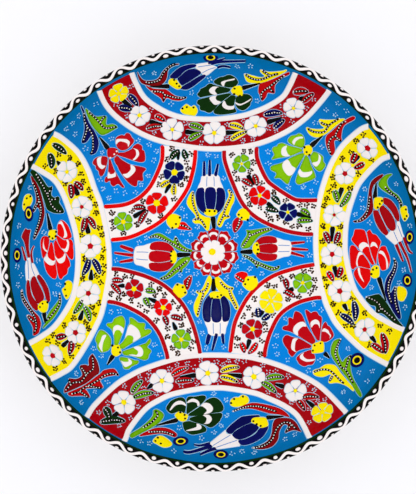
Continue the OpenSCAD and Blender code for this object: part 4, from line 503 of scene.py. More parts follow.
# Carnations as [colour, petals], with each petal as [outline, white crescent].
carnations = [
    ["crimson", [
        [[-70, 80.6, -71.6, 83, -71.8, 88, -67.8, 90.4, -65.6, 90, -64.8, 91.4, -63.2, 92, -61.6, 91.2,
          -60.2, 88.6, -59, 87.4, -59.6, 85, -64.2, 80.6, -68, 79.7],
         [-71.7, 83.6, -71.3, 87.3, -65, 87.7, -63, 86.9, -61.8, 85.2, -63.4, 82, -63.9, 84.6, -69, 85.9]],
        [[-71, 77, -69.6, 77.9, -66, 78.2, -60.5, 80.9, -59.6, 82.6, -56.4, 84.6, -53.2, 83, -53.2, 80.2,
          -51.6, 79.4, -51, 73.2, -53.4, 71.4, -58.6, 72.2, -65.4, 74.5, -70.4, 76],
         [-60, 81.4, -56.2, 80.2, -55.4, 76.4, -58.4, 72.9, -60.2, 73, -57.8, 76, -57.9, 79.8]],
        [[-71.4, 75.6, -68.6, 73.2, -62.4, 69.6, -54.4, 68, -50.4, 66.4, -53, 63.2, -52.8, 57.6, -56.6, 57.8,
          -57.4, 54, -60, 53.8, -64.2, 57, -69.6, 64.4, -71, 67.6, -73.6, 72.6],
         [-61.8, 69.4, -58.6, 67.6, -58.8, 64, -64.2, 59.5, -67.8, 62.2, -64.8, 62.9, -61.8, 65.8]],
        [[-77.4, 72.6, -76.4, 72.8, -75.6, 70.6, -73.4, 64.6, -68, 55, -66.6, 53.2, -67, 52.4, -68.4, 52.8,
          -71.2, 55.2, -74.6, 53.3, -76.6, 55.4, -76.8, 57.2, -77.6, 57.4, -79.8, 56, -80.8, 57.2, -80, 60,
          -78.6, 61, -77.6, 69.4],
         [-77.9, 64, -78.8, 60, -78, 59, -73.2, 60.2, -72.5, 61.8, -73.3, 64.2, -74, 62.8, -76.6, 62.2]],
        [[-78.3, 73.4, -79, 74.6, -82.6, 74.9, -87, 73.2, -88.9, 69.6, -86.8, 68, -86.9, 66.6, -86, 65,
          -84.8, 64.3, -84.8, 62.6, -83.6, 60.4, -81.2, 62.6, -78.8, 70],
         [-82.2, 74.8, -85.6, 73.2, -85.4, 68.4, -82.6, 65.6, -79.8, 68, -82, 68.6, -83, 69.8,
          -82.8, 73.4]]]],
    ["lime", [
        [[65, 81.6, 67.1, 85, 66, 89.6, 63, 91.8, 60.6, 90.6, 57.4, 90.2, 55, 87.4, 57, 84.6],
         [58.6, 84.6, 58.2, 86.2, 60.4, 88.8, 64.6, 89.5, 66, 88.9, 65.4, 88, 63.4, 87.9, 60.7, 86,
          59.8, 83.6]],
        [[65.4, 80.4, 65.4, 79, 63, 78.2, 57.4, 76, 47, 74.2, 44, 73.4, 43.6, 74.2, 45.4, 77, 43.8, 80,
          44, 81.6, 45.6, 82.8, 47.4, 83, 47.8, 84.4, 51, 85.2, 55.4, 83.4, 63.6, 81.2],
         [54.4, 83.5, 50.8, 81.6, 50.4, 77.6, 52, 75.8, 54.6, 75.4, 57, 76.2, 55.4, 77.2, 54, 80.6]],
        [[66.6, 77.4, 66.4, 74.6, 58.2, 61.2, 56.4, 56.4, 54.6, 55.4, 49.6, 59.6, 46, 59.4, 45.8, 60.4,
          47, 62, 46.4, 64, 43, 65.8, 43.4, 68.6, 51.2, 71, 57.6, 74.6, 64, 77.2],
         [55.2, 73.2, 51.4, 70.4, 52, 65.8, 55.4, 61.6, 58.6, 62, 61.2, 66.6, 58.4, 68.6]],
        [[68.4, 76, 70.4, 73.8, 72.2, 68.8, 75.6, 61.2, 74.4, 58.8, 67.8, 56.2, 63.8, 54.8, 61.4, 57.2,
          63.4, 64.4, 66.8, 73],
         [64.4, 66.4, 63, 63.6, 65, 60.4, 70, 60.3, 73.2, 62.8, 72.9, 65, 71.8, 64.2, 67.6, 63.8,
          65.6, 64.6]],
        [[72.4, 76.4, 74.4, 78.4, 80.4, 75, 80.8, 71.4, 82.6, 68.4, 79, 64.2, 74.8, 67.2, 71.6, 74],
         [76.4, 77.3, 79, 74.8, 78.6, 70.4, 75.8, 67.6, 73, 70.4, 76, 71.2, 77.2, 72.2, 77.4, 75.8]]]],
    ["lime", [
        [[-76.4, -65.4, -76.4, -60, -80, -55.4, -83.4, -53.6, -85.2, -54.6, -87.2, -59.4, -87, -61.4,
          -85.8, -63.8, -86, -66, -83.6, -69.2, -82, -69.6, -78, -68.4],
         [-79.6, -57.4, -82.4, -57.6, -83.8, -61.8, -84.8, -63.8, -84.6, -65.8, -82.4, -69.2, -81.8, -68.8,
          -82.2, -67, -81.5, -62]],
        [[-73.6, -64.2, -71.6, -64.8, -70.6, -63.4, -67.4, -54.6, -66.2, -49, -66.8, -45.6, -69, -43.4,
          -74, -45.4, -74.6, -47, -76, -48.6, -78.4, -48.6, -79.6, -49.4, -79, -50.6, -75.6, -53.6,
          -74, -59],
         [-74.4, -57.6, -74.8, -52, -71.6, -50, -67.6, -52, -67, -53.6, -68, -56.6, -70, -54, -73, -54.2]],
        [[-70.4, -65.4, -68, -67.6, -66, -66.8, -57, -61.2, -48.6, -57.2, -46.6, -54.4, -49.2, -53.4,
          -51, -54, -51.8, -52.8, -51.4, -49, -56, -48.6, -59, -46.2, -62, -44.6, -62.8, -45.8, -62.4, -47.6,
          -62.8, -49.8, -63.8, -51.4, -66.4, -61],
         [-66, -60.2, -64.2, -53, -63, -50.4, -61.2, -49.8, -56.4, -53.4, -54.6, -57.6, -54.8, -59.6,
          -60, -62.8, -59.8, -60, -61, -58.2, -64.2, -57.9]],
        [[-67.4, -70.8, -67.6, -69.6, -65, -68.6, -53, -64.6, -50.6, -63.8, -48.4, -61.2, -47.2, -60.8,
          -47.2, -63.4, -49.6, -66.6, -47.2, -68.6, -46.6, -70, -48.4, -72.6, -48.6, -74.6, -52, -76,
          -60, -73, -66, -72.2],
         [-59.6, -66.8, -55, -66, -52.4, -69.6, -54.2, -73.6, -63, -72.2, -60.4, -71.7, -57.6, -72.2,
          -56.4, -71, -56.6, -69.2]],
        [[-69.6, -74.8, -68.4, -73.6, -63.6, -74.4, -58.6, -76.2, -56, -76.4, -56.2, -78.4, -61.2, -80.6,
          -62.4, -82, -66.2, -81.8, -67.2, -78.8],
         [-68.6, -76, -66.4, -80, -64.4, -80.6, -60.8, -78.6, -60.8, -76.6, -62.4, -75, -64, -74.6,
          -63.2, -75.6, -63.4, -76.9, -66.8, -76.8]]]],
    ["crimson", [
        [[79.8, -61.8, 79.6, -60, 80.8, -51.4, 83.2, -47.6, 84.8, -50.6, 86, -50.8, 88.8, -56.6, 86.8, -59.8,
          83.2, -62],
         [80.4, -54.6, 82, -52.2, 85, -53.6, 85.8, -55.6, 87, -57.6, 85, -60.6, 86, -58.6, 85.6, -57,
          82.8, -54.8]],
        [[77.2, -61.2, 78.6, -60.8, 79, -58, 80.6, -46, 79.6, -43.4, 78.4, -42.8, 76.8, -40.2, 73.6, -40.6,
          73, -41.4, 69.4, -38.8, 69, -41.6, 73.4, -54.4, 75.8, -59.2],
         [72.8, -52, 72.4, -48, 76, -45.8, 78.8, -47.8, 79, -52.6, 78.2, -50.4, 77, -49.4, 75, -49.6]],
        [[74, -63.6, 75.4, -60.8, 69.4, -50.8, 67.2, -45, 65, -41.4, 61.8, -40, 60.6, -41, 59.4, -45.8,
          58.4, -45, 56, -45.2, 56, -50.2, 52.6, -51.2, 52, -53.6, 59.2, -55.8, 71.4, -63.2],
         [63, -58, 59.6, -55.6, 60, -51.6, 63.4, -48.4, 67.4, -47.8, 69.4, -51.2, 66.4, -51.4, 63.2, -54.6]],
        [[72.6, -65.6, 71.8, -64.6, 64.8, -60.6, 59, -59.2, 54.4, -57.8, 51.8, -61, 53, -65, 55.6, -68.6,
          55.8, -70.4, 57.6, -73, 59, -73.2, 62.4, -69.4, 67, -67.6, 71.6, -66.8],
         [63, -60.2, 59.2, -60.6, 57.8, -67.2, 60.4, -69.8, 62, -69.8, 60.6, -68.6, 61.2, -62.6]],
        [[72.6, -68.4, 70.8, -68.6, 64.8, -71.4, 61.6, -74.6, 62.8, -77, 63.4, -78.4, 67, -80.2, 70, -79,
          73, -78.6, 75, -75, 74.6, -71.4, 73, -71, 72.4, -69.8],
         [67.2, -70.4, 65, -71.6, 64, -73.2, 64.6, -75, 68.6, -76.8, 73.8, -76, 75, -74.4, 73.4, -74.8,
          68.8, -74.8, 66.4, -72.2]]]],
    ["dark_green", [
        [[13, 124, 3, 125.8, 0, 128, 4, 130.4, 7, 130.8, 11, 132, 15.4, 130.2, 17.6, 126.8],
         [7.4, 124.8, 6, 125.4, 5.8, 127.8, 14.6, 129.6, 14.6, 128.6, 9.6, 127.8, 8.2, 126.8]],
        [[12, 123.2, 11.6, 121.6, 8, 120.6, -7, 118.2, -9.4, 117.6, -12, 119.4, -10.2, 121.6, -9.6, 123,
          -6, 124.6, -3, 126.6, 1.6, 125.4, 10, 123.8],
         [4, 124.4, -0.8, 124.6, -3.5, 122, -1, 119.6, 2.6, 119.6, 0.9, 121.8, 2.4, 123.9]],
        [[12.6, 119.6, 10, 120.2, -6, 117.4, -11, 116, -12.2, 114.4, -11.8, 113, -10.2, 112.2, -10, 109.4,
          -6.6, 108.4, -3.4, 107.2, -0.6, 108.6, 4.4, 113.8, 10.6, 118],
         [2.8, 119, -3.2, 117.4, 0, 113, 3, 112.8, 5.4, 114.6, 2.6, 115.6, 1.6, 116.8, 1.8, 118.2]],
        [[13, 119, 16.2, 118, 15.3, 114.6, 15.2, 111.2, 16.8, 108.2, 14.4, 107, 7, 106, 1.6, 106.4, 0, 108.6,
          5, 113.6, 11.4, 118],
         [8.2, 115.2, 6.8, 114.6, 6.4, 111.6, 10, 109.4, 14.8, 109.8, 14.9, 112.6, 14, 111.8, 10, 112.2]],
        [[16.6, 117.8, 19.6, 118.6, 21.6, 119.6, 25.6, 119.2, 28.4, 116.4, 26.8, 113.6, 27, 112.4, 22.8, 109,
          19, 109.4, 16.2, 112.4],
         [15.8, 114.4, 16.2, 113.2, 19.6, 112, 26.4, 115, 27.6, 117.2, 26.6, 116.2, 20, 113.2]]]],
    ["dark_green", [
        [[-21.4, -113.6, -20.4, -107.4, -21.6, -104, -25, -103, -31, -105, -33.8, -108, -34.8, -109.8,
          -34.2, -111.6, -30.6, -113.8, -24.6, -112.2],
         [-32.2, -111, -29, -106.6, -24.6, -105.2, -21, -107, -20.4, -109, -23.4, -107.8, -27.8, -108.4,
          -31.4, -111.6]],
        [[-19.6, -114.4, -19.9, -112, -19.6, -107, -20.2, -104.8, -18.4, -102.6, -14, -102.6, -7.4, -101.8,
          -5.6, -103.8, -9.4, -108, -17.4, -113.2],
         [-19.4, -107, -19, -105.6, -15.6, -103.9, -11.6, -105.2, -10.2, -108, -11.8, -109.2, -12.6, -107,
          -16, -106.2]],
        [[-18.6, -114.8, -10, -109.4, -4.6, -104.8, 1, -103.4, 5.4, -106.2, 7.4, -110.6, 5.4, -113,
          1, -113.6, -13.4, -115.6],
         [-9.6, -109.2, -7, -106.9, -3, -107.4, -0.4, -110.4, -2, -113.4, -7.4, -114.7, -5.4, -112.8,
          -5.4, -111.4, -8.2, -109.4]],
        [[-17.8, -117.4, -13, -115.8, 2, -113.9, 6.2, -114.2, 6, -116.6, 5, -117.6, 4.6, -119, -1.4, -123.2,
          -7.4, -121.4, -16, -119],
         [-8, -115.2, -3.4, -115, -1.2, -117.8, -3.4, -120.6, -7.6, -120.9, -6, -120, -5.3, -117]],
        [[-22.6, -120.6, -22, -119.6, -18, -119, -15.4, -119.6, -8, -121.8, -5.4, -124, -6.4, -126,
          -14.6, -127.6, -18.4, -126.6, -21.4, -124.4],
         [-20.2, -124.8, -17, -125.2, -9.6, -124.3, -9.2, -121.8, -12.6, -120.6, -12.8, -122.8]]]],
    ["red", [
        [[-114.4, 17, -114.4, 20, -114.8, 22, -113.8, 26, -111.4, 28, -107.6, 24.6, -105.3, 18.6, -105, 15,
          -109.4, 13.6],
         [-114, 25, -112.2, 27.2, -111, 26.4, -109.2, 21.6, -107.9, 17.4, -108.6, 15.2, -110.8, 15,
          -110, 16.6, -110.2, 20.8, -112, 24.8]],
        [[-115.4, 16.2, -114.4, 16.6, -110, 13.4, -105.6, 14, -103.8, 11, -103.9, 8.6, -103.4, 4,
          -103.9, -0.6, -105.8, -1, -109.8, 4.6, -112.8, 8, -114.8, 12.6],
         [-108.6, 13.6, -107.2, 13.2, -106.6, 11.6, -107, 7, -108.6, 4.2, -111.8, 7, -109.4, 6.9,
          -108, 10.6]],
        [[-116.6, 12.4, -115.4, 13.4, -114.8, 12, -112.6, 7.6, -109.8, 4.2, -106.8, -1, -105.8, -5,
          -106.2, -6.6, -107.4, -7.6, -107.9, -11.4, -110.4, -13.6, -112.2, -16, -114, -13.4, -115.2, -7,
          -117.1, 8.6],
         [-109.8, 3.6, -109, 1.6, -110.2, -2.8, -113.4, -3.8, -115.8, -0.4, -116.2, 1.8, -114.2, -0.6,
          -111.2, 0.9]],
        [[-119.6, 11, -118.4, 11.6, -117.3, 8, -115.2, -8, -114.8, -12, -116, -15.3, -118.8, -14.2,
          -121.8, -10, -123.4, -4, -123.4, 0, -121.4, 3.4, -120.2, 8.6],
         [-121.3, 3.4, -122.2, 1.6, -123.4, 0, -123.2, -1.8, -120, -5, -116.8, -4.8, -116, -1, -116.6, -1.8,
          -118, -1.9, -120.6, 0.6]],
        [[-119.8, 13, -121.2, 16, -124.4, 15.6, -125.8, 11, -124.8, 2, -123.8, -0.2, -121.2, 5],
         [-123.2, 15.6, -124.2, 8, -121.8, 4.4, -121.2, 5.4, -122.6, 6.8, -123.5, 11]]]],
    ["red", [
        [[115, -8.8, 112.4, -7.6, 106.6, -6.8, 103.6, -10.8, 104.8, -15.4, 108.4, -21, 110.8, -22.6,
          114.4, -17.2, 115, -15],
         [106.8, -7, 106.4, -8.6, 107.6, -13.6, 110.8, -18, 108.4, -11.8, 107.8, -7.6]],
        [[114.6, -7.8, 114.4, -4, 111.4, 1.2, 108.2, 5, 106.8, 5.8, 104.6, 9, 101.8, 9.2, 100.8, 5.4,
          101.4, -5.6, 103.2, -8.6, 106.8, -6.2],
         [108.4, 4.6, 106.6, 3.2, 105.2, -4.2, 106.6, -6.4, 106.4, -2, 107.8, 1.8, 110, 2.8]],
        [[116, -5, 117.6, -4.6, 117.4, -3, 115.4, 2.6, 112, 18, 110, 21, 106.4, 21.4, 104.2, 21, 103.4, 17,
          102, 13.4, 105.4, 9, 111, 2.6, 114.2, -2.4],
         [108, 5.6, 107.2, 9.2, 110, 11.8, 113.4, 10.2, 114.2, 8, 112, 8.3, 109.8, 6.2, 109.6, 4.8]],
        [[118.4, -4.8, 119.2, -4.2, 119.4, 1.6, 121.8, 11, 121.8, 12.4, 118.8, 17, 116.2, 18, 114.6, 21,
          112.4, 19, 112.8, 16.6, 115, 5, 118, -3.6],
         [114.9, 8, 115.8, 11.6, 118.4, 11, 120, 7.2, 118, 8.7, 116.6, 8.8]],
        [[121, -6, 119.8, 2, 121.6, 8.2, 124.6, 8.8, 125.4, 7.4, 127.8, -0.4, 127, -6, 125.6, -8, 122.6, -9],
         [120.6, 4.6, 121.6, 5.6, 124, 3.8, 126.5, -4, 125.4, -8, 124.8, -0.8, 122.6, 2.6, 120.4, 3.6]]]]]

# Rosette in the middle of the dish.
rosette_c = [0.5, 3.7]
rosette_r = 18.8
rosette_hole_r = 7.0
rosette_turns = [93, 58.7, 20, -12, -51, -85, -116, -143, -170, 158, 124]
rosette_arc_root_r = 8.0
rosette_arc_outer_r = 15.7
rosette_arc_inner_r = 13.8
rosette_flower_c = [-0.4, 4]
rosette_flower_r = 9.3
rosette_flower_petals = 7
rosette_flower_turn = 20
rosette_heart_c = [-1, 4.5]
rosette_heart_r = 2.7

# Places on the dish.


def inside(plan, lift):
    """Points seen from above, at a height over the turquoise coat, as places in metres."""
    plan = np.asarray(plan, float)
    climb = np.clip(np.hypot(plan[:, 0], plan[:, 1]) - WELL_R, 0, None)
    rho = WALL_RHO - COAT - lift
    return np.column_stack([plan, FLOOR_Z + WALL_RHO - np.sqrt(rho ** 2 - climb ** 2)]) * MM


def on_lip(plan, lift):
    """The same for the rounded lip, over its black coat: distance from the crown runs round the lip."""
    plan = np.asarray(plan, float)
    r = np.hypot(plan[:, 0], plan[:, 1])
    turn = (r - CAP_R) / (HALF + COAT)
    reach = HALF + COAT + lift
    out = (CAP_R + reach * np.sin(turn)) / r
    return np.column_stack([plan * out[:, None], CAP_Z + reach * np.cos(turn)]) * MM


def lean(p):
    """How much a step up the wall shortens when seen from above."""
    climb = max(0.0, math.hypot(p[0], p[1]) - WELL_R)
    return math.sqrt(1 - (climb / (WALL_RHO - COAT)) ** 2)


def seen(centre, steps):
    """Steps away from a centre, shortened up the wall."""
    centre, steps = np.asarray(centre, float), np.asarray(steps, float)
    out = centre / max(1.0, np.linalg.norm(centre))
    return centre + steps - (1 - lean(centre)) * (steps @ out)[:, None] * out


# Plane curves.


def turned(points, degrees):
    """Points turned round the origin."""
    c, s = math.cos(math.radians(degrees)), math.sin(math.radians(degrees))
    p = np.asarray(points, float)
    return np.column_stack([p[:, 0] * c - p[:, 1] * s, p[:, 0] * s + p[:, 1] * c])


def circle(count):
    """Points round a circle of radius 1."""
    a = np.linspace(0, 2 * np.pi, count, endpoint=False)
    return np.column_stack([np.cos(a), np.sin(a)])


def polar(degrees, reach):
    """A step in a direction."""
    return reach * math.cos(math.radians(degrees)), reach * math.sin(math.radians(degrees))


def heading(start, end):
    """The direction from one point to another, in degrees."""
    return math.degrees(math.atan2(end[1] - start[1], end[0] - start[0]))


def pairs(row):
    """The points of a row of x, y, x, y."""
    return np.asarray(row, float).reshape(-1, 2)


def smooth(points, per=8, closed=False):
    """A smooth curve through points, with a number of steps between each two."""
    p = pairs(points)
    p = np.vstack([p[-1:], p, p[:2]]) if closed else np.vstack([p[:1], p, p[-1:]])
    u = (np.arange(per) / per)[:, None]
    out = []
    for i in range(len(p) - 3):
        a, b, c, d = p[i:i + 4]
        out.append((2 * b + (c - a) * u + (2 * a - 5 * b + 4 * c - d) * u ** 2
                    + (3 * b - a - 3 * c + d) * u ** 3) / 2)
    if not closed:
        out.append(p[-2:-1])
    return np.vstack(out)


def even(points, step, closed=False):
    """The same line with points at an even spacing."""
    p = np.asarray(points, float)
    if closed:
        p = np.vstack([p, p[:1]])
    run = np.concatenate([[0], np.cumsum(np.linalg.norm(np.diff(p, axis=0), axis=1))])
    n = max(8 if closed else 2, int(round(run[-1] / step)))
    at = np.linspace(0, run[-1], n + 1)[:n if closed else n + 1]
    return np.column_stack([np.interp(at, run, p[:, 0]), np.interp(at, run, p[:, 1])])


def normals(p, closed=False):
    """Unit steps to the left of a line at each of its points."""
    t = np.roll(p, -1, 0) - np.roll(p, 1, 0) if closed else np.gradient(p, axis=0)
    t /= np.maximum(np.linalg.norm(t, axis=1), 1e-9)[:, None]
    return np.column_stack([-t[:, 1], t[:, 0]])


def strip(p, half):
    """The outline of a line with half a width to each side."""
    side = normals(p) * half
    return np.vstack([p + side, (p - side)[::-1]])


def counter_clockwise(p):
    x, y = p[:, 0], p[:, 1]
    return p if np.sum(x * np.roll(y, -1) - np.roll(x, -1) * y) > 0 else p[::-1]


def grown(outline, by):
    """An outline moved outward."""
    p = counter_clockwise(even(outline, STEP, True))
    return p - normals(p, True) * by


def within_lip(p):
    """An outline drawn in where it would run over the lip."""
    r = np.maximum(np.hypot(p[:, 0], p[:, 1]), 1e-9)
    return p * np.minimum(1, PAINT_R / r)[:, None]


def edge_distance(points, loop, batch=400):
    """How far points lie from a closed outline, worked out a batch at a time."""
    along = np.roll(loop, -1, 0) - loop
    size = np.maximum((along * along).sum(1), 1e-12)
    best = np.empty(len(points))
    for s in range(0, len(points), batch):
        away = points[s:s + batch, None, :] - loop[None]
        t = np.clip((away * along).sum(2) / size, 0, 1)
        gap = away - t[..., None] * along
        best[s:s + batch] = np.sqrt((gap * gap).sum(2)).min(1)
    return best


def is_inside(points, loop):
    """Which points lie inside a closed outline."""
    x, y = points[:, 0][:, None], points[:, 1][:, None]
    x0, y0 = loop[:, 0][None], loop[:, 1][None]
    x1, y1 = np.roll(loop[:, 0], -1)[None], np.roll(loop[:, 1], -1)[None]
    with np.errstate(divide="ignore", invalid="ignore"):
        hit = ((y0 > y) != (y1 > y)) & (x < (x1 - x0) * (y - y0) / (y1 - y0) + x0)
    return hit.sum(1) % 2 == 1


# What is taken on the dish, so that the sprinkled marks keep clear of the motifs.

CELL = 0.5
GRID = np.arange(-LIP_R, LIP_R + 0.01, CELL)
taken = np.zeros((len(GRID), len(GRID)), bool)


def cell(p):
    """The cell of the grid that holds a point."""
    return int((p[0] + LIP_R) / CELL), int((p[1] + LIP_R) / CELL)


def fill_mask(mask, outline):
    """Marks the cells inside an outline."""
    loop = np.asarray(outline, float)
    lo = np.clip(((loop.min(0) + LIP_R) / CELL).astype(int), 0, len(GRID) - 1)
    hi = np.clip(((loop.max(0) + LIP_R) / CELL).astype(int) + 2, 0, len(GRID))
    xs, ys = np.meshgrid(GRID[lo[0]:hi[0]], GRID[lo[1]:hi[1]], indexing="ij")
    spots = np.column_stack([xs.ravel(), ys.ravel()])
    if len(spots):
        mask[lo[0]:hi[0], lo[1]:hi[1]] |= is_inside(spots, loop).reshape(xs.shape)


def is_taken(p, reach):
    """Whether a motif lies within reach of a point."""
    i, j = cell(p)
    n = int(math.ceil(reach / CELL))
    return bool(taken[max(0, i - n):i + n + 1, max(0, j - n):j + n + 1].any())


# Glazes and enamels. Colours are given as they look, from 0 to 255.


def tint(r, g, b):
    """A colour as it looks, as the light that the renderer works with."""
    def linear(v):
        v /= 255
        return v / 12.92 if v <= 0.04045 else ((v + 0.055) / 1.055) ** 2.4
    return (linear(r), linear(g), linear(b), 1.0)


def preset(node, **values):
    """Sets the values of a node's named inputs."""
    for label, value in values.items():
        node.inputs[label].default_value = value


def new_group(name, inputs, outputs):
    """An empty shader group with named sockets, and its two end nodes."""
    group = bpy.data.node_groups.new(name, "ShaderNodeTree")
    for label, kind, value in inputs:
        socket = group.interface.new_socket(label, in_out="INPUT", socket_type=kind)
        socket.default_value = value
    for label, kind in outputs:
        group.interface.new_socket(label, in_out="OUTPUT", socket_type=kind)
    return group, group.nodes.new("NodeGroupInput"), group.nodes.new("NodeGroupOutput")


def maths(tree, kind, a, b, clamp=False):
    node = tree.nodes.new("ShaderNodeMath")
    node.operation = kind
    node.use_clamp = clamp
    for socket, value in zip(node.inputs, (a, b)):
        if isinstance(value, (int, float)):
            socket.default_value = value
        else:
            tree.links.new(value, socket)
    return node.outputs[0]


def blend(tree, a, share_a, b, share_b):
    """The sum of two values, each with its share."""
    return maths(tree, "ADD", maths(tree, "MULTIPLY", a, share_a), maths(tree, "MULTIPLY", b, share_b))


def noise(tree, place, scale, detail=2.0, rough=0.5):
    node = tree.nodes.new("ShaderNodeTexNoise")
    preset(node, Scale=scale, Detail=detail, Roughness=rough)
    tree.links.new(place, node.inputs["Vector"])
    return node.outputs["Fac"]


def stretched(tree, place, scale):
    node = tree.nodes.new("ShaderNodeMapping")
    preset(node, Scale=scale)
    tree.links.new(place, node.inputs["Vector"])
    return node.outputs["Vector"]


def carried(tree, label, out):
    """A value that each point of the mesh carries."""
    node = tree.nodes.new("ShaderNodeAttribute")
    node.attribute_name = label
    return node.outputs[out]


def brushed_colour_group():
    """Colour laid on with a brush: streaked along each stroke, thin at its edge, no stroke like another."""
    color, value = "NodeSocketColor", "NodeSocketFloat"
    group, inp, out = new_group(
        "brushed colour",
        [("Full", color, (1, 1, 1, 1)), ("Thin", color, (1, 1, 1, 1)), ("Streaks", value, 0.3),
         ("Edge", value, 0.3), ("Strokes", value, 0.1)],
        [("Colour", color), ("Height", value)])
    stroke = carried(group, "stroke", "Vector")
    bristle = noise(group, stretched(group, stroke, (0.16, 1.3, 1)), 1.0, 3.0, 0.6)
    cloud = noise(group, stretched(group, stroke, (0.2, 0.2, 1)), 1.0, 2.0)
    mixed = blend(group, bristle, 0.65, cloud, 0.35)
    streak = maths(group, "MULTIPLY", maths(group, "SUBTRACT", mixed, 0.45), 2.2)
    streak = maths(group, "MULTIPLY", streak, inp.outputs["Streaks"])
    rim = maths(group, "SUBTRACT", 1.0, carried(group, "edge", "Fac"))
    rim = maths(group, "MULTIPLY", maths(group, "MULTIPLY", rim, rim), inp.outputs["Edge"])
    tone = maths(group, "MULTIPLY", carried(group, "tone", "Fac"), inp.outputs["Strokes"])
    thin = maths(group, "ADD", maths(group, "ADD", streak, rim), maths(group, "ADD", tone, 0.1), True)
    mix = group.nodes.new("ShaderNodeMix")
    mix.data_type = "RGBA"
    group.links.new(thin, mix.inputs[0])
    group.links.new(inp.outputs["Full"], mix.inputs[6])
    group.links.new(inp.outputs["Thin"], mix.inputs[7])
    group.links.new(mix.outputs[2], out.inputs["Colour"])
    group.links.new(bristle, out.inputs["Height"])
    return group


def kiln_gloss_group():
    """The melted skin of a glaze: a slow ripple, a fine peel and a few duller places."""
    value = "NodeSocketFloat"
    group, inp, out = new_group(
        "kiln gloss", [("Roughness", value, 0.15), ("Spread", value, 0.08)],
        [("Roughness", value), ("Height", value)])
    place = group.nodes.new("ShaderNodeTexCoord").outputs["Object"]
    ripple = noise(group, place, 90.0)
    peel = noise(group, place, 700.0)
    dull = maths(group, "SUBTRACT", noise(group, place, 60.0, 3.0), 0.5)
    dull = maths(group, "MULTIPLY", dull, inp.outputs["Spread"])
    group.links.new(maths(group, "ADD", inp.outputs["Roughness"], dull), out.inputs["Roughness"])
    group.links.new(blend(group, ripple, 0.7, peel, 0.3), out.inputs["Height"])
    return group


BRUSHED = brushed_colour_group()
GLOSS = kiln_gloss_group()
RELIEF_M = 0.0003
BRUSH_RELIEF = 0.5
SPECULAR = 0.05


def enamel(name, full, thin, streaks=0.3, edge=0.25, strokes=0.12, rough=0.1, bump=0.12, spread=0.08):
    """A fired colour: brushed tint under a glossy skin."""
    material = bpy.data.materials.new(name)
    material.use_nodes = True
    tree = material.node_tree
    shader = tree.nodes["Principled BSDF"]
    brush = tree.nodes.new("ShaderNodeGroup")
    brush.node_tree = BRUSHED
    preset(brush, Full=tint(*full), Thin=tint(*thin), Streaks=streaks, Edge=edge, Strokes=strokes)
    skin = tree.nodes.new("ShaderNodeGroup")
    skin.node_tree = GLOSS
    preset(skin, Roughness=rough, Spread=spread)
    relief = tree.nodes.new("ShaderNodeBump")
    preset(relief, Strength=bump, Distance=RELIEF_M)
    brushwork = maths(tree, "MULTIPLY", brush.outputs["Height"], BRUSH_RELIEF)
    tree.links.new(maths(tree, "ADD", skin.outputs["Height"], brushwork), relief.inputs["Height"])
    tree.links.new(brush.outputs["Colour"], shader.inputs["Base Color"])
    tree.links.new(skin.outputs["Roughness"], shader.inputs["Roughness"])
    tree.links.new(relief.outputs["Normal"], shader.inputs["Normal"])
    shader.inputs["Specular IOR Level"].default_value = SPECULAR
    return material


MATERIALS = {
    # The turquoise glaze's thin colour also stands for the painted shade up the wall.
    "turquoise": enamel("turquoise glaze", (0, 134, 228), (0, 98, 146), streaks=0.25, edge=0.85, strokes=0.0),
    "crimson": enamel("crimson enamel", (192, 0, 16), (120, 0, 4), streaks=0.25, edge=0.1),
    "scarlet": enamel("scarlet enamel", (208, 0, 6), (156, 0, 8), streaks=0.35, edge=0.15),
    "red": enamel("bright red enamel", (238, 0, 0), (150, 0, 6), streaks=0.15, edge=0.1),
    "yellow": enamel("lemon yellow enamel", (252, 234, 0), (248, 208, 0), streaks=0.25, edge=0.15),
    "lime": enamel("lime green enamel", (144, 204, 8), (70, 138, 0), streaks=0.4, edge=0.55),
    "green": enamel("dark green enamel", (6, 38, 2), (12, 62, 10), streaks=0.35, edge=0.3),
    "cobalt": enamel("cobalt enamel", (0, 3, 74), (6, 18, 116), streaks=0.35, edge=0.3),
    "white": enamel("white enamel", (246, 239, 235), (236, 228, 228), streaks=0.2, edge=0.1),
    "pale": enamel("pale blue outline", (186, 222, 242), (140, 200, 236), streaks=0.4, edge=0.1),
    "black": enamel("black enamel", (3, 2, 2), (16, 12, 10), streaks=0.35, edge=0.2, strokes=0.1, rough=0.2),
    "brown": enamel("brown black dots", (44, 18, 0), (92, 54, 14), strokes=0.25, rough=0.25),
    "back": enamel("off-white back glaze", (236, 230, 220), (222, 210, 192), edge=0.6, strokes=0.1,
                   rough=0.18, bump=0.25),
    "clay": enamel("bare clay", (196, 152, 120), (168, 122, 92), streaks=0.6, edge=0.2, strokes=0.1,
                   rough=0.75, bump=0.6, spread=0.1),
}


# Strokes of paint as closed solids.


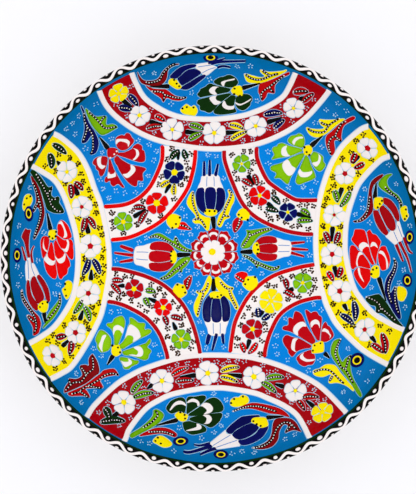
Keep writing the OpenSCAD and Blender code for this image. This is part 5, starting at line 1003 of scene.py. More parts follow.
class Paint:
    """One colour of paint: gathers its strokes, which end up as one piece."""

    def __init__(self, name, colour, nodes, surface=inside):
        self.name, self.colour, self.nodes, self.surface = name, colour, nodes, surface
        self.places, self.tris, self.edge, self.tone, self.stroke = [], [], [], [], []
        self.count = 0
        self.rng = random.Random(name)

    def add(self, places, tris, edge, stroke, tone=None):
        if tone is None:
            tone = self.rng.uniform(-1, 1)
        shift = (self.rng.uniform(-500, 500), self.rng.uniform(-500, 500))
        self.places.append(places)
        self.tris.append(np.asarray(tris) + self.count)
        self.edge.append(edge)
        self.tone.append(np.full(len(places), tone))
        self.stroke.append(np.column_stack([stroke + shift, np.zeros(len(places))]))
        self.count += len(places)

    def build(self):
        mesh = bpy.data.meshes.new(self.name)
        mesh.from_pydata(np.vstack(self.places).tolist(), [], np.vstack(self.tris).tolist())
        for label, values in (("edge", self.edge), ("tone", self.tone)):
            carrier = mesh.attributes.new(label, "FLOAT", "POINT").data
            carrier.foreach_set("value", np.concatenate(values).astype(np.float32))
        strokes = np.vstack(self.stroke).astype(np.float32)
        mesh.attributes.new("stroke", "FLOAT_VECTOR", "POINT").data.foreach_set("vector", strokes.ravel())
        mesh.polygons.foreach_set("use_smooth", np.ones(len(mesh.polygons), bool))
        mesh.materials.append(MATERIALS[self.colour])
        mesh.validate()
        piece = bpy.data.objects.new(self.name, mesh)
        bpy.context.scene.collection.objects.link(piece)
        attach(piece, "root")
        if self.nodes:
            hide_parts(*self.nodes)
        return piece


def quads(a, b, c, d):
    """Rows of four-cornered faces, each as two triangles."""
    return [np.column_stack([a, b, c]), np.column_stack([a, c, d])]


def closed_solid(paint, plan, tris, top, bottom, edge, flow, tone=None):
    """A patch with an upper side, an equal under side sunk in what carries it, and walls between."""
    n = len(plan)
    a, b, c = plan[tris[:, 0]], plan[tris[:, 1]], plan[tris[:, 2]]
    area = (b[:, 0] - a[:, 0]) * (c[:, 1] - a[:, 1]) - (b[:, 1] - a[:, 1]) * (c[:, 0] - a[:, 0])
    tris = np.where((area > 0)[:, None], tris, tris[:, ::-1])[np.abs(area) > 1e-9]
    ways = np.vstack([tris[:, [0, 1]], tris[:, [1, 2]], tris[:, [2, 0]]])
    key = np.sort(ways, 1) @ np.array([n + 1, 1])
    _, first, hits = np.unique(key, return_index=True, return_counts=True)
    start, end = ways[first[hits == 1]].T
    walls = quads(end, start, start + n, end + n)
    places = np.vstack([paint.surface(plan, top), paint.surface(plan, np.full(n, bottom))])
    stroke = np.tile(turned(plan, -flow), (2, 1))
    paint.add(places, np.vstack([tris, tris[:, ::-1] + n, *walls]), np.tile(edge, 2), stroke, tone)


def patch(paint, outline, thick, under=0.0, flow=0.0, step=STEP, shoulder=0.55, grid=1.8, tone=None,
          rings=(0.16, 0.5, 1.0)):
    """A brushed patch: full in the middle, with a rounded shoulder to its edge."""
    loop = within_lip(counter_clockwise(even(outline, step, True)))
    inward = normals(loop, True) * shoulder
    spots = []
    for share in rings:
        ring = loop + inward * share
        spots.append(ring[edge_distance(ring, loop) > 0.85 * shoulder * share])
    (left, low), (right, high) = loop.min(0), loop.max(0)
    xs, ys = np.meshgrid(np.arange(left + grid / 2, right, grid), np.arange(low + grid / 2, high, grid))
    xs[1::2] += grid / 2
    spots.append(np.column_stack([xs.ravel(), ys.ravel()]))
    inner = np.vstack(spots)
    inner = inner[is_inside(inner, loop)]
    inner = inner[edge_distance(inner, loop) > 0.1 * shoulder]
    links = [(i, (i + 1) % len(loop)) for i in range(len(loop))]
    corners = [Vector(p) for p in np.vstack([loop, inner]).tolist()]
    made = delaunay_2d_cdt(corners, links, [], 0, 1e-5, False)
    plan = np.array([v[:] for v in made[0]])
    tris = np.array([f[:] for f in made[2] if len(f) == 3])
    tris = tris[is_inside(plan[tris].mean(1), loop)]
    far = edge_distance(plan, loop)
    gap = np.minimum(far / shoulder, 1)
    top = under + thick * np.sqrt(1 - (1 - gap) ** 2)
    closed_solid(paint, plan, tris, top, under - SINK, np.minimum(far / EDGE_FADE, 1), flow, tone)


ACROSS = np.array([-1, -0.96, -0.8, -0.4, 0.4, 0.8, 0.96, 1])
SIDES = np.array([-1, 1])


def ribbon(paint, path, width, thick, under=0.0, closed=False, step=LINE_STEP, tip=0.25, tone=None, flat=6):
    """A line of paint with a full back. Width is a number or one for each end; a tip of 1 ends square."""
    p = even(path, step, closed)
    run = np.concatenate([[0], np.cumsum(np.linalg.norm(np.diff(p, axis=0), axis=1))])
    first, last = (width, width) if np.isscalar(width) else width
    w = first + (last - first) * run / max(run[-1], 1e-9)
    full = np.ones(len(p))
    if not closed:
        for s in (run, run[-1] - run):
            round_end = 1 - (1 - np.minimum(s / (w / 2), 1)) ** 2
            full = np.minimum(full, np.sqrt(np.clip(round_end, tip ** 2, 1)))
    half = (w * full / 2)[:, None, None] * normals(p, closed)[:, None]
    n, m = len(p), len(ACROSS)
    plan = (p[:, None] + half * ACROSS[None, :, None]).reshape(-1, 2)
    low = (p[:, None] + half * SIDES[None, :, None]).reshape(-1, 2)
    top = under + thick * (np.sqrt(1 - np.abs(ACROSS) ** flat)[None] * full[:, None]).ravel()
    places = np.vstack([paint.surface(plan, top), paint.surface(low, np.full(2 * n, under - SINK))])
    i = np.arange(n if closed else n - 1)
    j = (i + 1) % n
    faces = []
    for k in range(m - 1):
        faces += quads(i * m + k, j * m + k, j * m + k + 1, i * m + k + 1)
    base = n * m
    left, right = base + 2 * i, base + 2 * i + 1
    left_j, right_j = base + 2 * j, base + 2 * j + 1
    faces += quads(left, right, right_j, left_j)
    faces += quads(i * m, left, left_j, j * m)
    faces += quads(i * m + m - 1, j * m + m - 1, right_j, right)
    if not closed:
        for at, turn in ((0, 1), (n - 1, -1)):
            rim = [base + 2 * at, *range(at * m, at * m + m), base + 2 * at + 1]
            cap = np.array([[rim[0], rim[k + 1], rim[k]] for k in range(1, len(rim) - 1)])
            faces.append(cap if turn == -1 else cap[:, ::-1])
    edge = np.concatenate([np.tile(1 - np.abs(ACROSS), n), np.zeros(2 * n)])
    along = np.concatenate([np.repeat(run, m), np.repeat(run, 2)])
    aside = np.concatenate([(across[None] * w[:, None] / 2).ravel() for across in (ACROSS, SIDES)])
    paint.add(places, np.vstack(faces), edge, np.column_stack([along, aside]), tone)


DAB = circle(10)


def dab(paint, centre, rx, ry, turn, thick, under, squash=True):
    """A small drop of paint with a domed top."""
    n = len(DAB)
    rings = []
    for share in (1.0, 0.72):
        ring = turned(DAB * (rx, ry) * share, turn)
        rings.append(seen(centre, ring) if squash else np.asarray(centre) + ring)
    middle = np.asarray([centre], float)
    plan = np.vstack([*rings, middle, middle])
    ends = [under + thick, under - DAB_SINK]
    lift = np.concatenate([np.full(n, under), np.full(n, under + 0.69 * thick), ends])
    i = np.arange(n)
    j = (i + 1) % n
    faces = quads(i, j, j + n, i + n)
    crown, base = np.full(n, 2 * n), np.full(n, 2 * n + 1)
    faces += [np.column_stack([i + n, j + n, crown]), np.column_stack([j, i, base])]
    edge = np.concatenate([np.zeros(n), np.full(n, 0.4), [1, 0]])
    paint.add(paint.surface(plan, lift), np.vstack(faces), edge, plan - middle)


# The pots of paint: each ends up as one piece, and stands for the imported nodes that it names.

POTS = []


def pot(name, colour, *nodes, surface=inside):
    POTS.append(Paint(name, colour, nodes, surface))
    return POTS[-1]


def pots_of(kind, colours):
    """A pot for each colour of a kind of motif; dark green motifs are painted in the green enamel."""
    return {c: pot(f"{kind}_in_{c}", c.removeprefix("dark_"), f"{c}_{kind}") for c in colours}


pale = pot("pale_outlines", "pale")
crimson_bands = pot("crimson_bands", "crimson", "north_red_band", "south_red_band")
yellow_bands = pot("yellow_bands", "yellow", "west_yellow_band", "east_yellow_band")
white_bands = pot("white_corner_bands", "white", *[f"{corner}_white_band" for corner in corner_arcs])
contours = pot("white_contours", "white",
               *[f"{side}_{ring}_contour" for side in lobe_lines for ring in ("outer", "inner")])
bright_arcs = pot("bright_red_arcs", "red", "nw_red_arcs")
scarlet_arcs = pot("scarlet_arcs", "scarlet", "se_red_arcs")
crimson_arcs = pot("crimson_arcs", "crimson", "ne_red_arcs", "sw_red_arcs")
rosette = pot("rosette_crimson", "crimson", "rosette_petals")
rosette_arcs = pot("rosette_arcs", "white", "rosette_white_arcs")
rosette_white = pot("rosette_white_flower", "white", "rosette_flower")
rosette_middle = pot("rosette_yellow", "yellow", "rosette_heart")
tulip_paints = pots_of("tulips", ("cobalt", "crimson"))
tulip_whites = pot("tulip_whites", "white", "white_tulip_middles")
fans = pots_of("carnations", ("crimson", "lime", "red", "dark_green"))
crescents = pot("carnation_crescents", "white", "white_crescents")
calyxes = pot("calyxes", "yellow", "yellow_calyxes")
berries = pot("berries", "yellow", "yellow_berries")
flowers = pots_of("blossoms", blossoms)
yellow_hearts = pot("hearts_in_yellow", "yellow", "yellow_hearts")
crimson_hearts = pot("hearts_in_crimson", "crimson", "crimson_hearts")
foliage = pots_of("leaves", band_leaves)
stems = pot("stems_in_black", "black", "black_stems")
veins = pot("leaf_veins", "black")
vein_dots = pot("leaf_vein_dots", "white")
black_dots = pot("calyx_dots", "black")
eye_discs = pot("eye_discs", "cobalt", "cobalt_eye_discs")
eye_rings = pot("eye_rings", "yellow", "yellow_eye_rings")
eye_pupils = pot("eye_pupils", "black", "black_eye_pupils")
blue_lines = pot("tulip_blue_lines", "turquoise")
white_marks = pot("white_sprinkles", "pale")
dark_marks = pot("dark_sprinkles", "brown")
wave_line = pot("lip_wave", "white", "lip_white_wave", surface=on_lip)
lip_dots = pot("lip_dots", "white", "lip_white_dots", surface=on_lip)

hand = random.Random(7)


def outlined(paint, outline, thick, under=0.0, flow=0.0, grow=PALE_EDGE, **more):
    """A motif with the thin pale line that was drawn round it."""
    wide = grown(outline, grow)
    patch(pale, wide, PALE_H + hand.uniform(0, UNEVEN), under, flow, step=0.9, shoulder=0.3, grid=5.0,
          rings=(1.0,))
    fill_mask(taken, wide)
    patch(paint, outline, thick + hand.uniform(0, UNEVEN), under, flow, **more)


# The bands between the lobes' contour lines, the corners and their arcs.

GROUND_MARKS_R = 141
BAND_MARKS_R = 138
ground_mask = np.zeros_like(taken)
fill_mask(ground_mask, circle(180) * GROUND_MARKS_R)
band_masks = {label: np.zeros_like(taken) for label in ("crimson", "yellow", "white")}
for paint, label, bands in ((crimson_bands, "crimson", (lobe_lines["north"], lobe_lines["south"])),
                            (yellow_bands, "yellow", (lobe_lines["west"], lobe_lines["east"])),
                            (white_bands, "white", corner_arcs.values())):
    for outer, inner in bands:
        shape = np.vstack([smooth(outer), smooth(inner)[::-1]])
        # The crimson bands are painted darker: painted shade up the wall.
        patch(paint, shape, BAND_H, step=1.0, grid=2.4, tone=SHADE_AND_DEEP_TONES.get(label))
        fill_mask(band_masks[label], shape)
        ground_mask[band_masks[label]] = False
xs, ys = np.meshgrid(GRID, GRID, indexing="ij")
for mask in band_masks.values():
    mask &= np.hypot(xs, ys) < BAND_MARKS_R
for line in [line for pair in lobe_lines.values() for line in pair]:
    p = even(smooth(line), LINE_STEP)
    p = p[np.hypot(p[:, 0], p[:, 1]) < PAINT_R + 0.6]
    ribbon(contours, p, CONTOUR_W, CONTOUR_H, tip=1)
    ribbon(pale, p, CONTOUR_W + LINE_PALE, CONTOUR_PALE_H, step=1.5, tip=1)
    fill_mask(taken, strip(p, CONTOUR_W / 2 + LINE_CLEAR))
for paint, corners in ((bright_arcs, ("nw",)), (scarlet_arcs, ("se",)), (crimson_arcs, ("ne", "sw"))):
    for line in [line for corner in corners for line in corner_arcs[corner]]:
        p = even(smooth(line), LINE_STEP)
        ribbon(paint, p, ARC_W, ARC_H)
        ribbon(pale, p, ARC_W + LINE_PALE, ARC_PALE_H, step=1.5)
        fill_mask(taken, strip(p, ARC_W / 2 + LINE_CLEAR))


# Flowers. A petal is given as shares of its reach and of half its angle.

PETAL = [(0.16, -0.3), (0.45, -0.9), (0.72, -0.975), (0.9, -0.86), (1.0, -0.45), (1.0, 0.45),
         (0.9, 0.86), (0.72, 0.975), (0.45, 0.9), (0.16, 0.3)]
HEART_H = TRIM_H + 0.12


def ring_of_petals(paint, centre, radius, count, turn, under, thick=MOTIF_H, wobble=0.05):
    """A blossom's petals, each a little different."""
    for k in range(count):
        middle = turn + k * 360 / count + hand.uniform(-3, 3)
        reach = radius * hand.uniform(1 - wobble, 1 + wobble)
        steps = []
        for share, aside in PETAL:
            steps.append(polar(middle + aside * 180 / count, reach * share * hand.uniform(0.975, 1.025)))
        outlined(paint, smooth(seen(centre, steps), 5, True), thick, under, middle, grow=PETAL_PALE_EDGE)


def heart(paint, centre, radius, under):
    """The round middle of a blossom."""
    ring = circle(14)
    ring *= radius * np.array([[hand.uniform(0.93, 1.07)] for _ in ring])
    patch(paint, smooth(seen(centre, ring), 3, True), HEART_H, under, step=0.5, shoulder=0.8)


for colour, group in blossoms.items():
    for i, (centre, radius, count, turn, heart_r) in enumerate(group):
        ring_of_petals(flowers[colour], centre, radius, count, turn, BAND_H)
        paint = crimson_hearts if colour == "white" and i >= yellow_heart_count else yellow_hearts
        heart(paint, centre, heart_r, BAND_H + MOTIF_H - 0.25)


def along(line, shape, width):
    """A shape given as shares of a flower's length and width, laid along the flower's own line."""
    c = smooth(line, 16)
    t = normals(c)
    at = np.clip([e[0] for e in shape], 0, 1) * (len(c) - 1)
    n = np.arange(len(c))
    place = np.column_stack([np.interp(at, n, c[:, k]) for k in (0, 1)])
    aside = np.column_stack([np.interp(at, n, t[:, k]) for k in (0, 1)])
    return place + aside * (np.array([e[1] for e in shape]) * width)[:, None]


def both_sides(side):
    """A whole outline from its one side."""
    return side + [(u, -v) for u, v in reversed(side)]


TULIP_MID = [(0.03, 0.04), (0.1, 0.12), (0.2, 0.17), (0.3, 0.192), (0.38, 0.185), (0.43, 0.15), (0.455, 0.06)]
TULIP_SIDE = [(0.02, 0.16), (0.1, 0.16), (0.2, 0.2), (0.3, 0.218), (0.4, 0.21), (0.445, 0.25), (0.45, 0.32),
              (0.43, 0.43), (0.36, 0.495), (0.26, 0.51), (0.16, 0.465), (0.07, 0.34), (0.02, 0.22)]
TULIP_WHITE = [(0.36, 0.42), (0.4, 0.44), (0.46, 0.43), (0.56, 0.345), (0.69, 0.255)]
TULIP_WHITE_H = MOTIF_H - 0.1
BLUE_LINE_UNDER = MOTIF_H - 0.12


def tulip_tip(paint, line, first, last, tone=None):
    p = even(line, LINE_STEP)
    ribbon(pale, p, (first + TIP_PALE, last + TIP_PALE), PALE_H)
    ribbon(paint, p, (first, last), MOTIF_H, tip=0.5, tone=tone)
    fill_mask(taken, strip(p, 0.7 * max(first, last)))


def tulip(paint, line, width, tips):
    """A tulip of the middle: a white part with blue lines, three petals over it, and tips."""
    flow = heading(line[0], line[-1])
    white = along(line, both_sides(TULIP_WHITE), width)
    outlined(tulip_whites, smooth(white, 3, True), TULIP_WHITE_H, 0.0, flow)
    for v in (-0.13, 0.13):
        blue = along(line, [(0.46, v), (0.56, v), (0.67, v * 0.9)], width)
        ribbon(blue_lines, blue, 0.5, BLUE_LINE_H, BLUE_LINE_UNDER)
    petals = [(both_sides(TULIP_MID), 0.2, MOTIF_H + 0.06)]
    petals += [([(u, k * v) for u, v in TULIP_SIDE], 0.18, MOTIF_H + 0.02) for k in (1, -1)]
    for shape, swell, thick in petals:
        outlined(paint, grown(smooth(along(line, shape, width), 4, True), swell), thick, 0.0, flow)
    for start, end, first, last in tips:
        tulip_tip(paint, [start, end], first, last)


for colour, line, width, tips in middle_tulips:
    tulip(tulip_paints[colour], line, width, tips)
for colour, white, petals, tips, lines in lobe_tulips:
    flow = heading(pairs(petals[1]).mean(0), pairs(white).mean(0))
    outlined(tulip_whites, smooth(white, 3, True), TULIP_WHITE_H, 0.0, flow, step=0.5)
    for line in lines:
        ribbon(blue_lines, smooth(line), 0.4, BLUE_LINE_H, BLUE_LINE_UNDER)
    # The crimson of the lobes' tulips is painted darker: painted shade up the wall.
    tone = SHADE_AND_DEEP_TONES.get(colour)
    for petal in petals:
        shape = grown(smooth(petal, 4, True), 0.15)
        outlined(tulip_paints[colour], shape, MOTIF_H + 0.04, 0.0, flow, tone=tone)
    for line, first, last in tips:
        tulip_tip(tulip_paints[colour], smooth(line), first, last, tone)
for colour, petals in carnations:
    for outline, white in petals:
        flow = heading(outline[:2], pairs(white).mean(0))
        outlined(fans[colour], grown(smooth(outline, 4, True), FAN_SWELL[colour]), MOTIF_H, 0.0, flow)
        patch(crescents, smooth(white, 4, True), TRIM_H, MOTIF_H - OVERLAP, flow, step=0.5, shoulder=0.4)


# The rosette in the middle.


def rosette_petal(turn, left, right, inner, outer, share, waves=0, depth=0.0):
    """A broad blunt petal between the lines halfway to the petals on its left and right."""
    steps = []
    for t in range(-90, 91, 6):
        s = math.sin(math.radians(t)) * share
        m = 1 - depth + depth * math.cos(math.radians(waves * 2 * t))
        r = inner + (outer - inner) * (0.72 + 0.28 * math.cos(math.radians(t))) * m
        steps.append(polar(turn + (left if s > 0 else right) * s, r))
    steps += [polar(turn + left * share, inner), polar(turn - right * share, inner)]
    return np.asarray(rosette_c) + np.array(steps)


for i, turn in enumerate(rosette_turns):
    left = min((other - turn) % 360 for other in rosette_turns if other != turn) / 2
    right = min((turn - other) % 360 for other in rosette_turns if other != turn) / 2
    shape = rosette_petal(turn, left, right, rosette_hole_r, rosette_r, 0.95, 3, 0.045)
    outlined(rosette, shape, MOTIF_H + 0.02 * (i % 3), 0.0, turn)
    far, close = (rosette_petal(turn, left, right, rosette_arc_root_r, r, share)[:-2]
                  for r, share in ((rosette_arc_outer_r, 0.86), (rosette_arc_inner_r, 0.6)))
    patch(rosette_arcs, np.vstack([far, close[::-1]]), TRIM_H, MOTIF_H - 0.05, turn, step=0.5, shoulder=0.4)
ring_of_petals(rosette_white, rosette_flower_c, rosette_flower_r, rosette_flower_petals, rosette_flower_turn,
               MOTIF_H - 0.1, 0.4, 0.04)
core = np.asarray(rosette_flower_c) + circle(24) * 0.8 * rosette_flower_r
patch(rosette_white, core, 0.36, MOTIF_H - 0.1)
heart(rosette_middle, rosette_heart_c, rosette_heart_r, MOTIF_H + 0.2)


# Leaves, stems, calyxes, berries and eyes.


def leaf_outline(line, width):
    """A pointed leaf along a line, widest below its middle."""
    c = smooth(line)
    u = np.linspace(0, 1, len(c))
    half = (np.clip(np.sin(np.pi * u ** 0.85), 0, 1) ** 0.75 / 2 * width)[:, None] * normals(c)
    return np.vstack([c[:1], (c + half)[1:-1], c[-1:], (c - half)[1:-1][::-1]])


def vein(line, width, under, start=0.0, stop=1.0, spacing=1.95):
    """A black line along a leaf, with white dots on it."""
    c = even(smooth(line), 0.5)
    c = c[int(start * len(c)):max(int(math.ceil(stop * len(c))), 3)]
    ribbon(veins, c, width, TRIM_H, under, step=0.6, tip=0.4)
    spots = even(c, spacing)
    for p in spots[:-1] if len(spots) > 2 else spots:
        place = (p[0] + hand.uniform(-0.12, 0.12), p[1] + hand.uniform(-0.12, 0.12))
        rx, ry = VEIN_DOT_R * hand.uniform(0.85, 1.2), VEIN_DOT_R * hand.uniform(0.85, 1.2)
        dab(vein_dots, place, rx, ry, 0, 0.16, under + TRIM_H - 0.06)


for colour, outline, lines in long_leaves:
    on_floor = math.hypot(*outline[:2]) < WELL_R
    shape = grown(smooth(outline, 4, True), 0.4 if on_floor else 0.1)
    # Crimson, red and lime long leaves up the wall, and lime ones on the floor too, are painted darker:
    # partly painted shade, partly their own deeper tone.
    outlined(foliage[colour], shape, MOTIF_H, 0.0, heading(lines[0][:2], lines[0][-2:]),
             tone=None if on_floor and colour != "lime" else LEAF_SHADE_AND_DEEP_TONES.get(colour))
    for line in lines:
        vein(line, VEIN_W, MOTIF_H - OVERLAP)
for colour, small_leaves in band_leaves.items():
    for i, (a, b) in enumerate(small_leaves):
        bright = colour == "red" and i < bright_red_leaf_count
        a, b = np.array(a, float), np.array(b, float)
        a, b = a - 0.05 * (b - a), b + 0.05 * (b - a)
        bend = np.array([-(b - a)[1], (b - a)[0]]) * 0.06
        line = [a, (a + b) / 2 + bend, b]
        # Small crimson, red and lime leaves, except the brightest red ones, are painted darker: partly
        # painted shade up the wall, partly their own deeper tone.
        outlined(foliage[colour], leaf_outline(line, BAND_LEAF_W), MOTIF_H, BAND_H, heading(a, b),
                 tone=None if bright else SHADE_AND_DEEP_TONES.get(colour))
        vein(line, BAND_VEIN_W, BAND_H + MOTIF_H - OVERLAP, 0.06, 0.94, 1.85)
WALL_STEM_W = 0.9
for group, thin, wide, under in ((ground_stems, 2.6, 4.4, 0.0), (lobe_stems, WALL_STEM_W, 3.4, 0.0),
                                 (band_stems, 1.5, 4.2, BAND_H)):
    for narrow, root in group:
        p = smooth([narrow, (np.array(narrow) + root) / 2, root])
        start = thin if under or np.hypot(*root) < WELL_R else WALL_STEM_W
        ribbon(pale, p, (start + LINE_PALE, wide + LINE_PALE), PALE_H, under)
        ribbon(stems, p, (start, wide), MOTIF_H - 0.02, under, tip=0.6)
        fill_mask(taken, strip(p, wide * 0.6))


def lobed(centre, rx, ry, spots, bump=0.17, margin=1.5):
    """An oval that swells toward the dots on it."""
    a = np.linspace(0, 2 * np.pi, 36, endpoint=False)
    r = np.full(len(a), 0.93)
    for x, y in spots - np.asarray(centre):
        if abs(x) < rx + margin and abs(y) < ry + margin:
            off = (a - math.atan2(y / ry, x / rx) + np.pi) % (2 * np.pi) - np.pi
            r += bump * np.exp(-(off / 0.32) ** 2)
    return np.asarray(centre) + np.column_stack([rx * r * np.cos(a), ry * r * np.sin(a)])


SWOLLEN_H = MOTIF_H + 0.1
SPOT_H = 0.22
SPOT_UNDER = MOTIF_H + 0.02
for paint, ovals, outlines, spots in ((calyxes, calyx_list, calyx_outlines, calyx_spots),
                                      (berries, berry_list, berry_outlines, berry_spots)):
    for shape in [lobed(*oval, spots) for oval in ovals] + [smooth(o, 3, True) for o in outlines]:
        outlined(paint, shape, SWOLLEN_H, shoulder=0.9)
    for spot in spots:
        dab(black_dots, spot, 1.0, 1.0, hand.uniform(0, 90), SPOT_H, SPOT_UNDER)
for paint, outline, dots, spots in ((fans["crimson"], calyx_crimson, vein_dots, calyx_crimson_spots),
                                    (calyxes, calyx_yellow, black_dots, calyx_yellow_spots)):
    outlined(paint, smooth(outline, 4, True), SWOLLEN_H, shoulder=0.9)
    for spot in spots:
        dab(dots, spot, 0.9, 0.85, hand.uniform(0, 90), SPOT_H, SPOT_UNDER)
for centre, rx, ry, *askew in eye_list:
    oval = turned(circle(30) * (rx, ry), askew[0] if askew else 0)
    patch(eye_discs, centre + oval * 1.12, MOTIF_H)
    fill_mask(taken, centre + oval * 1.2)
    patch(eye_rings, centre + oval * 0.7, TRIM_H, MOTIF_H - 0.1, step=0.4, shoulder=0.4)
    patch(eye_pupils, centre + oval * 0.48, TRIM_H, MOTIF_H + 0.06, step=0.35, shoulder=0.35)


# Sprinkled marks between the motifs.

SPRINKLE_R = 143
TRIES = 40000


def sprinkle(mask, gap, reach, seed, mark):
    """Marks strewn at random where a mask allows, clear of the motifs and a gap apart."""
    rng = random.Random(seed)
    placed = []
    for _ in range(TRIES):
        p = (rng.uniform(-SPRINKLE_R, SPRINKLE_R), rng.uniform(-SPRINKLE_R, SPRINKLE_R))
        if not mask[cell(p)] or is_taken(p, reach):
            continue
        if all((p[0] - q[0]) ** 2 + (p[1] - q[1]) ** 2 > gap * gap for q in placed):
            placed.append(p)
            mark(p, rng)


def ring_of_dabs(paint, under, thick, counts, spread, reach, long, wide, twist, core=None):
    """A mark made of a few dabs round a spot; with a core, the first of them is on the spot."""
    def mark(p, rng):
        n = rng.choice(counts)
        first = rng.uniform(0, 360)
        for k in range(n):
            a = first + k * 360 / n + rng.uniform(-spread, spread)
            d = core if core and k == 0 else rng.uniform(*reach)
            spot = seen(p, [polar(a, d)])[0]
            rx, ry = rng.uniform(*long), rng.uniform(*wide)
            dab(paint, spot, rx, ry, a + rng.uniform(-twist, twist), thick, under)
    return mark


WHITE_MARK = dict(thick=0.16, counts=(4, 5, 5, 6), spread=16, reach=(1.0, 1.9), long=(0.5, 0.85),
                  wide=(0.36, 0.48), twist=30)
DARK_MARK = dict(thick=0.18, counts=(5, 6, 7), spread=12, reach=(1.45, 2.0), long=(0.74, 0.98),
                 wide=(0.7, 0.9), twist=40, core=0.2)
sprinkle(ground_mask, 6.2, 1.7, "ground", ring_of_dabs(white_marks, 0.0, **WHITE_MARK))
sprinkle(band_masks["crimson"], 5.0, 1.0, "crimson", ring_of_dabs(white_marks, BAND_H, **WHITE_MARK))
sprinkle(band_masks["yellow"], 4.8, 0.8, "yellow", ring_of_dabs(dark_marks, BAND_H, **DARK_MARK))
sprinkle(band_masks["white"], 5.0, 0.8, "corner", ring_of_dabs(dark_marks, BAND_H, **DARK_MARK))


# The lip: a wave trailed by hand, with drops in its pockets. A drop is given as its share of a wave, its
# radius from the axis and its reach across and along the lip.

LIP_DROPS = ((0.25, CAP_R - 0.6, 1.25, 1.75), (0.75, CAP_R + 2.7, 0.8, 1.3))


def lip_wave():
    rng = random.Random(11)
    sway = [(rng.uniform(0.5, 1), rng.uniform(0, 6.3), k) for k in (2, 3, 5, 9, 14)]
    a = np.linspace(0, 2 * np.pi, WAVES * 14, endpoint=False)
    drift = sum(w * np.sin(k * a + f) for w, f, k in sway) * 0.16
    swell = 1 + 0.12 * sum(w * np.cos(k * a + 2 * f) for w, f, k in sway) / 2
    r = CAP_R + WAVE_OUT + WAVE_SWING * swell * np.sin(WAVES * a + drift)
    path = np.column_stack([r * np.cos(a), r * np.sin(a)])
    ribbon(wave_line, path, WAVE_W, WAVE_H, closed=True, step=0.9, flat=3)
    for i in range(WAVES):
        for share, radius, rx, ry in LIP_DROPS:
            at = (i + share) * 2 * math.pi / WAVES
            at -= float(np.interp(at % (2 * np.pi), a, drift)) / WAVES
            x = (radius + rng.uniform(-0.15, 0.1)) * math.cos(at)
            y = (radius + rng.uniform(-0.15, 0.1)) * math.sin(at)
            rx, ry = rx * rng.uniform(0.8, 1.12), ry * rng.uniform(0.8, 1.25)
            dab(lip_dots, (x, y), rx, ry, math.degrees(at), WAVE_H, 0.0, False)


lip_wave()


# Turned pieces: clay, coats and the lip's bands.


def turned_piece(name, colour, nodes, profile, edge=None, segments=432, wander=None):
    """A closed profile of [radius, height] turned round the dish's axis."""
    paint = Paint(name, colour, nodes)
    p = np.asarray(profile, float)
    n = len(p)
    a = np.arange(segments) * 2 * np.pi / segments
    r = np.repeat(p[None, :, 0], segments, 0)
    z = np.repeat(p[None, :, 1], segments, 0)
    if wander is not None:
        dr, dz = wander(a[:, None], p[None, :, 0], p[None, :, 1])
        r, z = r + dr, z + dz
    places = np.stack([r * np.cos(a)[:, None], r * np.sin(a)[:, None], z], 2).reshape(-1, 3) * MM
    i, k = (v.ravel() for v in np.meshgrid(np.arange(segments), np.arange(n), indexing="ij"))
    j, l = (i + 1) % segments, (k + 1) % n
    tris = np.vstack(quads(i * n + k, i * n + l, j * n + l, j * n + k))
    on_axis = p[:, 0] < 1e-6
    tris = tris[~on_axis[tris % n].all(1)]
    shade = np.ones(n) if edge is None else np.asarray(edge, float)
    stroke = np.column_stack([(r * a[:, None]).ravel(), (r + z).ravel()])
    paint.add(places, tris, np.tile(shade, segments), stroke, 0.0)
    weld = paint.build().modifiers.new("weld", "WELD")
    weld.merge_threshold = 1e-6


def wall_point(slope, over):
    """A point of the wall's profile, at a height over the clay's inside."""
    rho = WALL_RHO - over
    return (WELL_R + rho * math.sin(slope), FLOOR_Z + WALL_RHO - rho * math.cos(slope))


def lip_point(degrees, radius):
    """A point round the lip's profile."""
    x, z = polar(degrees, radius)
    return (CAP_R + x, CAP_Z + z)


FLAT = [0.0, 4, 10, 18, 26, 34, 42, 50, 58, 63]
CLIMB = np.linspace(0, 1, 46)
COAT_ARC = range(141, 128, -4)
GREEN_ARC = range(137, 122, -3)
GREEN_OUT = HALF + COAT + 0.05
LIP_ARC = range(125, -36, -8)
WALL_SHADE_R = 84
FOOT_SIDE = [(0.7, 3.6), (0.1, 1.0), (-0.2, 0.4), (-0.8, 0.0)]
FOOT_IN_R = FOOT_R - FOOT_W
BITE = 0.05


def ground_profile():
    """The turquoise coat, and how full its colour is: it darkens from partway up the wall to the lip, as
    painted shade of the wall.
    """
    top = [(r, FLOOR_Z + COAT) for r in FLAT] + [wall_point(LIP_SLOPE * u, COAT) for u in CLIMB]
    top += [lip_point(t, HALF + COAT) for t in COAT_ARC]
    low = [lip_point(t, HALF) for t in reversed(COAT_ARC)]
    low += [wall_point(LIP_SLOPE * u, 0.0) for u in CLIMB[::-3]] + [(r, FLOOR_Z) for r in FLAT[::-1]]
    return top + low, [1.0 - np.clip((r - WALL_SHADE_R) / (LIP_R - WALL_SHADE_R), 0, 1) for r, _ in top + low]


def ground_brushwork(a, r, z):
    """The coat was brushed on: it is a little uneven, most of all up the wall."""
    rise = 0.035 * (np.sin(9 * a + r / 7) * np.cos(r / 5 + 2 * np.sin(3 * a)) + np.sin(23 * a - r / 4) * 0.5)
    return np.zeros_like(rise), rise * (z > FLOOR_Z + 0.3) * np.clip(r / 20, 0, 1) * (r < PAINT_R - 1)


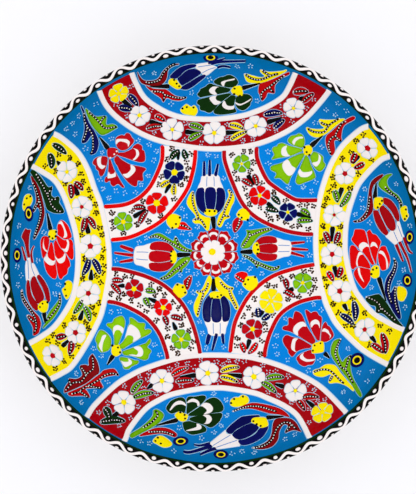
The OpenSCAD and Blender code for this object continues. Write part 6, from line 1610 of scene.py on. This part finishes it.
def clay_profile():
    top = [(r, FLOOR_Z) for r in FLAT] + [wall_point(LIP_SLOPE * u, 0.0) for u in CLIMB]
    lip = [lip_point(t, HALF) for t in LIP_ARC][1:-1]
    out = [wall_point(LIP_SLOPE * u, -WALL) for u in CLIMB[::-1]]
    out = [(r, z) for r, z in out if r > FOOT_R + 1.6]
    foot = [(FOOT_R + 1.4, FOOT_H - 0.1)] + [(FOOT_R + d, z) for d, z in FOOT_SIDE]
    foot += [(FOOT_R - FOOT_W / 2, 0.0)] + [(FOOT_IN_R - d, z) for d, z in reversed(FOOT_SIDE)]
    foot += [(FOOT_IN_R - 1.5, FOOT_H)]
    return top + lip + out + foot + [(r, FOOT_H) for r in FLAT[::-1] if r < FOOT_IN_R - 2]


def back_profile():
    """The glaze on the back, with the faint rings that fingers leave on the wheel."""
    slopes = np.radians(np.linspace(5, 55, 90))
    skin = [wall_point(s, -WALL - COAT - 0.09 * math.sin(s * 95)) for s in slopes[::-1]]
    return skin + [wall_point(s, -WALL + BITE) for s in slopes]


def glaze_line(a, r, z):
    """The lower edge of the back glaze wavers round the foot."""
    low = np.exp(-np.clip(z - 5.6, 0, None) / 0.8)
    waver = 1.3 * (np.sin(3 * a + 1) + 0.6 * np.sin(7 * a + 2) + 0.4 * np.sin(13 * a))
    return low * waver, np.zeros_like(low * a)


def under_profile():
    """The glaze inside the foot ring."""
    r = FOOT_IN_R - 2.5
    edge = [(0, FOOT_H + BITE), (r, FOOT_H + BITE), (r, FOOT_H - 0.2), (r - 0.3, FOOT_H - 0.42)]
    return edge + [(x, FOOT_H - COAT) for x in (r - 1, r * 0.66, r * 0.33, 0)]


def lip_band(arc, outer):
    return [lip_point(t, outer) for t in arc] + [lip_point(t, HALF - BITE) for t in reversed(arc)]


def green_wander(a, r, z):
    """The green line is broader to the left, right and below."""
    inner = r < CAP_R + GREEN_OUT * math.cos(math.radians(GREEN_ARC[0])) + 0.1
    broad = 0.35 + 0.25 * np.cos(2 * a) - 0.4 * np.sin(a) + 0.1 * np.sin(17 * a)
    shift = inner * np.clip(broad, 0.0, None)
    return -shift, -shift * math.tan(PAINT_SLOPE)


turned_piece("turquoise_coat", "turquoise", ["turquoise_ground"], *ground_profile(), wander=ground_brushwork)
turned_piece("clay_body", "clay", ["clay_dish"], clay_profile())
turned_piece("back_wall_glaze", "back", ["back_glaze"], back_profile(), wander=glaze_line)
turned_piece("back_floor_glaze", "back", [], under_profile(), segments=144)
turned_piece("lip_black", "black", ["lip_black_band"], lip_band(LIP_ARC, HALF + COAT))
turned_piece("lip_green", "green", ["lip_green_line"], lip_band(GREEN_ARC, GREEN_OUT), wander=green_wander)
for paint in POTS:
    paint.build()


# The table, the light and the camera.


def floor():
    bpy.ops.mesh.primitive_grid_add(x_subdivisions=8, y_subdivisions=8, size=TABLE_SIZE)
    table = bpy.context.object
    table.name = "table"
    material = bpy.data.materials.new("pale table")
    material.use_nodes = True
    shader = material.node_tree.nodes["Principled BSDF"]
    shader.inputs["Base Color"].default_value = TABLE_COLOUR
    shader.inputs["Roughness"].default_value = 0.7
    table.data.materials.append(material)


def lamp(name, place, size, power):
    light = bpy.data.lights.new(name, "AREA")
    light.shape = "RECTANGLE"
    light.size, light.size_y = size
    light.energy = power
    obj = bpy.data.objects.new(name, light)
    obj.location = place
    obj.rotation_euler = (LAMP_AIM - Vector(place)).to_track_quat("-Z", "Y").to_euler()
    bpy.context.scene.collection.objects.link(obj)


def light_and_camera():
    scene = bpy.context.scene
    for k, degrees in enumerate((45, 135, 225, 315)):
        lamp(f"soft_{k}", (*polar(degrees, SOFT_R), SOFT_Z), SOFT_SIZE, SOFT_POWER)
    lamp("ceiling", CEILING_PLACE, CEILING_SIZE, CEILING_POWER)
    world = bpy.data.worlds.new("room")
    world.use_nodes = True
    preset(world.node_tree.nodes["Background"], Color=ROOM_COLOUR, Strength=ROOM_LIGHT)
    scene.world = world
    scene.view_settings.view_transform = "Standard"
    camera = bpy.data.cameras.new("camera")
    camera.sensor_fit = "VERTICAL"
    camera.sensor_height = SENSOR
    camera.lens = LENS
    eye = bpy.data.objects.new("camera", camera)
    eye.location = EYE_PLACE
    scene.collection.objects.link(eye)
    scene.camera = eye


floor()
light_and_camera()
